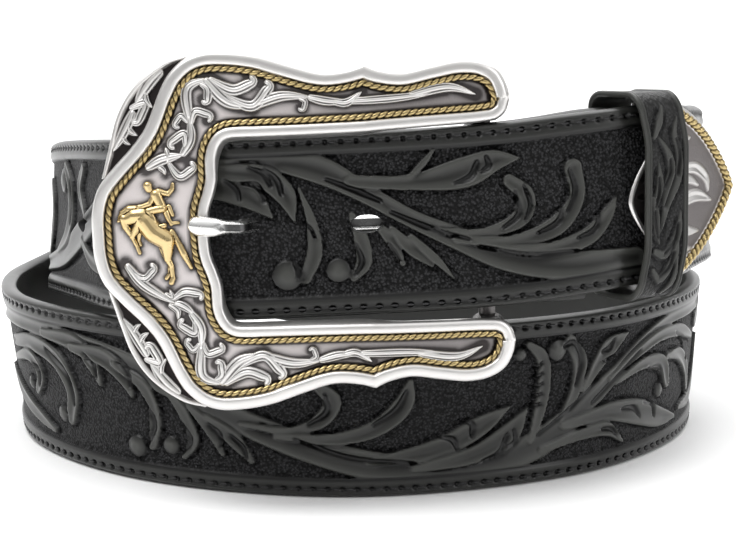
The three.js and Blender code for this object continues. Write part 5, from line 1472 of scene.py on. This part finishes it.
# Metal tip: a cast cap over the point of the billet. Gold rope borders it, its ground is stippled
# round an engraved leaf scroll, and its mouth is a bright curved edge.
tip_half = strap_width / 2 + part_gap + tip_wall
tip_top = strap_thickness / 2 + part_gap + tip_wall
tip_strokes = [
    [(17.5, -3.2, 1.1), (12, -1.4, 1.5), (6.6, -2.8, 0.4)],
    [(17.5, 4, 0.9), (12, 4.6, 1.3), (8.2, 2, 1), (7.6, -0.6, 0.4)],
    [(17.5, 2.4, 1.4), (13.6, 2.2, 1), (11, 0.8, 0.4)],
    [(18, -5, 0.9), (15, -8.6, 1.3), (11, -9.2, 0.4)],
    [(19, 6, 0.9), (17, 10.4, 1.2), (13.6, 11.2, 0.4)], [(27, -4, 0.6), (24, -7.4, 1.4), (19, -8, 1)],
    [(26.6, 3, 0.6), (24, 7, 1.4), (20, 9, 0.8)], [(28, 0, 0.5), (23, 0, 1.7), (17, 0, 1.3)],
    [(22, -11, 0.5), (17, -12.6, 1.1), (13, -13, 0.4)], [(23, 11.4, 0.5), (20, 13.6, 1), (16, 14, 0.4)],
]
tip_cuts = [
    [(16.6, -2.6, 0.1), (12, -1.4, 0.2), (8, -2.2, 0.1)],
    [(16, 4.2, 0.1), (12, 4.6, 0.2), (8.8, 2.4, 0.1)],
    [(26, 0.4, 0.1), (22, 0.5, 0.2), (18, 0.4, 0.1)],
    [(26, -0.6, 0.1), (22, -0.5, 0.2), (18, -0.4, 0.1)],
    [(24.6, -7, 0.1), (22, -7.6, 0.2), (19.4, -7.8, 0.1)],
    [(24.4, 7, 0.1), (22, 8.2, 0.2), (20, 8.8, 0.1)],
]


def on_tip(distance, rise, outward):
    """A place of the tip; ahead of the leather's end it runs on in a straight line."""
    distance, rise, outward = np.broadcast_arrays(np.asarray(distance, float), rise, outward)
    point, _, out, across = line_frame(billet, np.maximum(distance, 0))
    _, first_along, _, _ = line_frame(billet, 0.0)
    return (point + across * rise[..., None] + out * outward[..., None]
            + first_along * np.minimum(distance, 0)[..., None])


def tip_start(rise):
    """Where the tip's outline begins at each height above its middle."""
    around = tip_wall + part_gap
    return point_start(rise, tip_half, point_length + around) - around


def tip_mouth(rise):
    """Where the tip's brace-shaped mouth ends; its apex lies a little below the middle."""
    from_apex = np.abs(rise + 1) / 6.4
    return tip_length - brace_depth * np.minimum(from_apex ** 1.5, 2)


tip_bevel = 0.7
tip_ground_depth = 0.85
tip_relief = 0.28
side_steps = np.array([1, 0.999, 0.996, 0.99, 0.98, 0.965])
tip_rises = tip_half * np.concatenate([side_steps, np.linspace(0.95, -0.95, 150), -side_steps[::-1]])
down_front = np.concatenate([
    [1, 0.997, 0.99, 0.98], np.linspace(0.97, 0.03, 96), [0.018, 0.009, 0.003, 0],
])
starts, mouths = tip_start(tip_rises)[:, None], tip_mouth(tip_rises)[:, None]
distance = starts + (mouths - starts) * down_front[None]
rise = np.repeat(tip_rises[:, None], len(down_front), 1)
outline_rises = np.linspace(-tip_half, tip_half, 400)
tip_sides = np.linspace(tip_start(tip_half), tip_mouth(tip_half), 30)
tip_outline = np.vstack([
    np.stack([tip_start(outline_rises), outline_rises], -1),
    [(place, side * tip_half) for side in (-1, 1) for place in tip_sides],
])
flat = np.stack([distance, rise], -1).reshape(-1, 2)
from_edge = least_distance(flat, tip_outline).reshape(distance.shape)
from_mouth = mouths - distance
relief = np.full(distance.shape, -tip_ground_depth)
stippled = np.ones(distance.shape)
turned, turned_ground = relief.T.copy(), stippled.T.copy()
carve(turned, turned_ground, distance.T, rise.T, tip_strokes, tip_cuts)
inner_field = eased(2.5, 2.9, from_edge) * eased(1.0, 1.25, from_mouth)
relief = tip_relief * turned.T * inner_field
stippled = turned_ground.T * inner_field
relief -= tip_bevel * (1 - np.sqrt(1 - np.clip(1 - from_edge / tip_bevel, 0, 1) ** 2))
relief -= 0.25 * (1 - eased(0, 0.35, from_mouth))
front = on_tip(distance, rise, tip_top + relief)
shade = np.maximum(0.3 + stippled * 0.46, 0.8 * np.clip((-relief - 0.26) / 0.14, 0, 1)) * inner_field
in_shadow = eased(0.8, 1.1, from_mouth) * (1 - eased(5, 8, from_mouth))
shade = np.maximum(shade, in_shadow)
from_side = (tip_half - np.abs(tip_rises)) / tip_bevel
rounded = tip_bevel * (1 - np.sqrt(1 - np.clip(1 - from_side, 0, 1) ** 2))[:, None]
back_share = np.linspace(0, 1, 16)[None]
back_distance = starts + (mouths - starts) * back_share
back_relief = np.maximum(rounded, tip_bevel * (back_share == 0))
back = on_tip(back_distance, tip_rises[:, None], back_relief - tip_top)
hollow = (tip_top - tip_wall) * eased(tip_half - 0.02, tip_half - tip_wall, np.abs(tip_rises))[:, None]
inner_start = np.minimum(starts + tip_wall * 1.6, mouths - 0.5)
inner_distance = inner_start + (mouths - inner_start) * np.linspace(1, 0, 8)[None]
inner_back = on_tip(inner_distance, tip_rises[:, None], -hollow)
inner_front = on_tip(inner_distance[:, ::-1], tip_rises[:, None], hollow)
tip_rings = np.concatenate([front, back, inner_back, inner_front], axis=1)
plain = np.zeros((len(tip_rises), tip_rings.shape[1] - front.shape[1]))
tip = add_piece("cast_tip", tip_rings, skin(tip_rings),
                values={"tarnish_and_shade": np.hstack([shade, plain]), "sunk": np.hstack([stippled, plain])})
tip.data.materials.append(silver_plate)
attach(tip, "root")
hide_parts("metal_tip")

# The tip's own rope, a thicker one, lies along its two sides and round its point.
rope_from_edge = 1.45
tip_rope_radius = 1.02
tip_rope_pitch = 2.9
tip_rope_lift = 0.15
rope_half = tip_half - rope_from_edge
rope_rises = np.linspace(rope_half, -rope_half, 500)
rope_start = point_start(rope_rises, rope_half * 1.001, point_length) + 1.0
straight = np.linspace(0, 2.4, 12)[1:]
rope_places = np.vstack([
    np.stack([rope_start[0] + straight[::-1], np.full(11, rope_half)], -1),
    np.stack([rope_start, rope_rises], -1),
    np.stack([rope_start[-1] + straight, np.full(11, -rope_half)], -1),
])
steps = np.concatenate([[0], np.cumsum(np.linalg.norm(np.diff(rope_places, axis=0), axis=1))])
even = np.arange(0, steps[-1], 0.22)
rope_places = np.stack([np.interp(even, steps, rope_places[:, k]) for k in range(2)], -1)
tip_rope_rings, tip_rope_depth = twisted_rope(
    rope_places, lambda line, lift: on_tip(line[:, 0], line[:, 1], tip_top + tip_rope_lift + lift),
    tip_rope_radius, tip_rope_pitch)
# The depth value gives painted shade between the strands.
tip_rope = add_piece("tip_rope", tip_rope_rings, skin(tip_rope_rings), values={"depth": tip_rope_depth})
tip_rope.data.materials.append(gold)
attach(tip_rope, "root")

# Keeper: a loop of the same tooled leather, 11 mm wide, that holds the tip down. Two lines are
# pressed along each edge, with a leaf scroll between them on the front.
keeper_thickness = 1.4
room_in_front = 1.9
room_behind = 3.0
room_at_edges = 0.85
keeper_front = strap_thickness / 2 + part_gap + tip_wall + room_in_front
keeper_back = behind_tip + strap_thickness / 2 + room_behind
keeper_half = strap_width / 2 + part_gap + tip_wall + room_at_edges
keeper_corner = 3.4
keeper_deep = (keeper_front + keeper_back) / 2
keeper_skew = math.radians(-3)
keeper_strokes = [
    [(16.6, -3.4, 0.3), (13, -2, 0.8), (8.4, -3, 1.0), (3.5, -2.6, 1.1), (-2, 0.4, 1.0),
     (-7.5, 2, 0.4)],
    [(13, 2.8, 0.3), (9, 0, 0.9), (5.6, -0.9, 1.1), (0.8, 0.8, 0.9), (-1.6, 1.2, 0.3)],
    [(7, 2.6, 0.3), (3, 2.2, 1.0), (-1, 3, 0.9), (-4, 3.4, 0.3)],
    [(0, 4, 0.3), (-3.4, 3.2, 0.9), (-7, 3.0, 0.9), (-10, 2.4, 0.3)],
    [(-3.6, -3.4, 0.4), (-8.4, -2.6, 1.1), (-12.4, 0.4, 1.1), (-11.6, 3.2, 0.8)],
    [(-9, -2.8, 0.4), (-14, -2, 1.1), (-17.4, 0.6, 0.9), (-15.4, 3, 0.6)],
    [(18.4, 0, 0.4), (15.8, 1.4, 0.9), (12.4, 3.6, 0.5)],
    [(-13, -3.2, 0.3), (-17.6, -3.2, 0.7), (-20, -1, 0.4)],
]
keeper_cuts = [
    [(12, -2.4, 0.1), (8.6, -3.2, 0.2), (4.4, -2.8, 0.1)],
    [(7.6, -0.6, 0.1), (5, -0.6, 0.25), (2, 0.6, 0.1)],
    [(-6, -2.8, 0.1), (-9.6, -2, 0.25), (-12, 0.4, 0.1)],
    [(4, 2.4, 0.1), (1, 2.4, 0.25), (-2, 3.2, 0.1)],
    [(-12, -2, 0.1), (-15, -1.4, 0.25), (-16.8, 0.6, 0.1)],
    [(-3, 3.4, 0.1), (-6, 3.2, 0.2), (-8.6, 2.6, 0.1)],
]


def keeper_outline(count):
    """Places and directions outwards round the inside of the loop, from the middle of its front."""
    x, y, r = keeper_deep, keeper_half, keeper_corner
    bend = math.pi / 2 * r
    runs = (2 * (x - r), 2 * (y - r), 2 * (x - r), y - r)
    corners = ((x - r, y - r), (r - x, y - r), (r - x, r - y), (x - r, r - y))
    total = y - r + sum(runs) + 4 * bend
    rows = []
    for place in np.linspace(0, total, count, endpoint=False):
        left = place - (y - r)
        if left < 0:
            rows.append((x, place, 1, 0, place))
            continue
        for quarter, (corner, run) in enumerate(zip(corners, runs)):
            if left < bend + run:
                angle = (quarter + min(1, left / bend)) * math.pi / 2
                out_x, out_y = math.cos(angle), math.sin(angle)
                beyond = max(0, left - bend)
                rows.append((corner[0] + r * out_x - beyond * out_y, corner[1] + r * out_y + beyond * out_x,
                             out_x, out_y, place))
                break
            left -= bend + run
    rows = np.array(rows)
    rows[:, 4] = np.where(rows[:, 4] > total / 2, rows[:, 4] - total, rows[:, 4])
    return rows


keeper_columns = 56
keeper_edge = 0.45
keeper_ground_depth = 0.32
deepest_cut = 0.75
pressed_lines = (4.3, 5.0)
pressed_depth = 0.25
side_shift = 2.2
keeper_rows = keeper_outline(430)
flat_half = keeper_width / 2 - keeper_edge
across = np.linspace(-flat_half, flat_half, keeper_columns)
bend = np.linspace(0, math.pi, 7)[1:-1]
rounding = keeper_edge * np.sin(bend)
inner_columns = across[::-8]
side_z = np.concatenate([across, flat_half + rounding, inner_columns, -flat_half - rounding])
level_of = np.concatenate([
    np.ones(keeper_columns), (1 + np.cos(bend)) / 2, np.zeros(len(inner_columns)), (1 - np.cos(bend)) / 2,
])
outer_face = np.where(np.arange(len(side_z)) < keeper_columns, 1.0, 0.0)
along_keeper = np.repeat(keeper_rows[:, 4][:, None], len(side_z), 1)
across_keeper = np.broadcast_to(side_z, along_keeper.shape)
relief = np.full(along_keeper.shape, -keeper_ground_depth)
matted = np.ones(along_keeper.shape)
order = np.argsort(keeper_rows[:, 4])
part, part_matted = relief[order], matted[order]
carve(part, part_matted, along_keeper[order], across_keeper[order], keeper_strokes, keeper_cuts)
relief[order], matted[order] = np.maximum(part, -deepest_cut), part_matted
edge_band = eased(pressed_lines[0] - 0.15, pressed_lines[0], np.abs(across_keeper))
relief = relief * (1 - edge_band)
matted = matted * (1 - edge_band)
for pressed in pressed_lines:
    relief = relief - pressed_depth * np.exp(-((np.abs(across_keeper) - pressed) / 0.16) ** 2)
relief = relief * outer_face
reach = keeper_thickness * level_of[None] + relief
x = keeper_rows[:, 0][:, None] + keeper_rows[:, 2][:, None] * reach
y = keeper_rows[:, 1][:, None] + keeper_rows[:, 3][:, None] * reach
turned_y = y * math.cos(keeper_skew) - across_keeper * math.sin(keeper_skew)
turned_z = y * math.sin(keeper_skew) + across_keeper * math.cos(keeper_skew)
turned_z = turned_z + side_shift * eased(0.45, 1.05, np.abs(y) / keeper_half)
_, keeper_along, keeper_out, keeper_up = line_frame(billet, keeper_from_tip)
keeper_middle = beside_billet(keeper_from_tip, (keeper_front - keeper_back) / 2, -0.2)
keeper_rings = (keeper_middle + x[..., None] * keeper_out + turned_y[..., None] * keeper_up
                + turned_z[..., None] * keeper_along)
# The depth value gives painted shade in the keeper's cuts and a slightly darker tone all over.
keeper = add_piece("leather_keeper", keeper_rings, skin(keeper_rings, capped=False),
                   np.stack([along_keeper, across_keeper], -1) / 100,
                   {"matting": 0.6 * matted * outer_face, "depth": 0.14 - relief})
keeper.data.materials.append(leather)
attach(keeper, "root")
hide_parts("keeper")

# Studio: a pale floor that turns up behind the belt, three soft lights and the camera
floor_profile = [(-1.2, 0), (0.5, 0), (0.62, 0.03), (0.7, 0.1), (0.74, 0.2), (0.75, 1.6)]
floor_points = [(x, y, z) for y, z in floor_profile for x in (-1.6, 1.6)]
floor_faces = [(2 * k, 2 * k + 1, 2 * k + 3, 2 * k + 2) for k in range(len(floor_profile) - 1)]
floor_mesh = bpy.data.meshes.new("studio_floor")
floor_mesh.from_pydata(floor_points, [], floor_faces)
floor_mesh.polygons.foreach_set("use_smooth", [True] * len(floor_faces))
floor = bpy.data.objects.new("studio_floor", floor_mesh)
bpy.context.collection.objects.link(floor)
# Painted reflection: only in the belt's reflections, the floor is painted darker towards the camera.
paper, tree, surface = new_material("white_paper", Roughness=0.9)
spot = node(tree, "ShaderNodeTexCoord")
spot_parts = node(tree, "ShaderNodeSeparateXYZ", Vector=spot.outputs["Object"])
fade = node(tree, "ShaderNodeMapRange", Value=spot_parts.outputs["Y"], From_Min=-0.22, From_Max=-0.3)
ray = node(tree, "ShaderNodeLightPath")
reflected = calculated(tree, "MULTIPLY", fade.outputs["Result"], ray.outputs["Is Glossy Ray"])
feed(tree, surface.inputs["Base Color"], blended(tree, reflected, (0.9, 0.9, 0.9, 1), (0.6, 0.6, 0.6, 1)))
floor_mesh.materials.append(paper)

world = bpy.context.scene.world or bpy.data.worlds.new("studio")
bpy.context.scene.world = world
world.use_nodes = True
tree = world.node_tree
backdrop = tree.nodes["Background"]
direction = node(tree, "ShaderNodeTexCoord")
height_of = node(tree, "ShaderNodeSeparateXYZ", Vector=direction.outputs["Generated"])
brightness = node(tree, "ShaderNodeMapRange", Value=height_of.outputs["Z"], From_Min=0.05, From_Max=0.75,
                  To_Min=0.2, To_Max=1.1)
feed(tree, backdrop.inputs["Strength"], brightness.outputs["Result"])
feed(tree, backdrop.inputs["Color"], (1, 1, 1, 1))
bpy.context.scene.view_settings.view_transform = "Standard"


def soft_light(name, place, aim, size, power):
    """A soft rectangular light at one place, turned towards another."""
    light = bpy.data.lights.new(name, "AREA")
    light.shape = "RECTANGLE"
    light.size, light.size_y = size
    light.energy = power
    lamp = bpy.data.objects.new(name, light)
    bpy.context.collection.objects.link(lamp)
    lamp.location = place
    lamp.rotation_euler = (Vector(aim) - Vector(place)).to_track_quat("-Z", "Y").to_euler()


soft_light("key_light", (-0.4, -0.35, 0.8), (0, 0, 0.05), (0.6, 0.6), 4.5)
soft_light("side_light", (0.75, -0.45, 0.3), (0, 0, 0.05), (0.2, 0.5), 1.2)
soft_light("top_light", (0, 0.35, 0.9), (0, 0.2, 0), (1.2, 0.7), 8)

camera_data = bpy.data.cameras.new("camera")
camera_data.lens = 75.13
camera_data.sensor_width = 36
camera = bpy.data.objects.new("camera", camera_data)
bpy.context.collection.objects.link(camera)
camera.location = (0.004187, -0.411774, 0.09605)
camera.rotation_euler = (math.radians(82.2), 0, 0)
bpy.context.scene.camera = camera
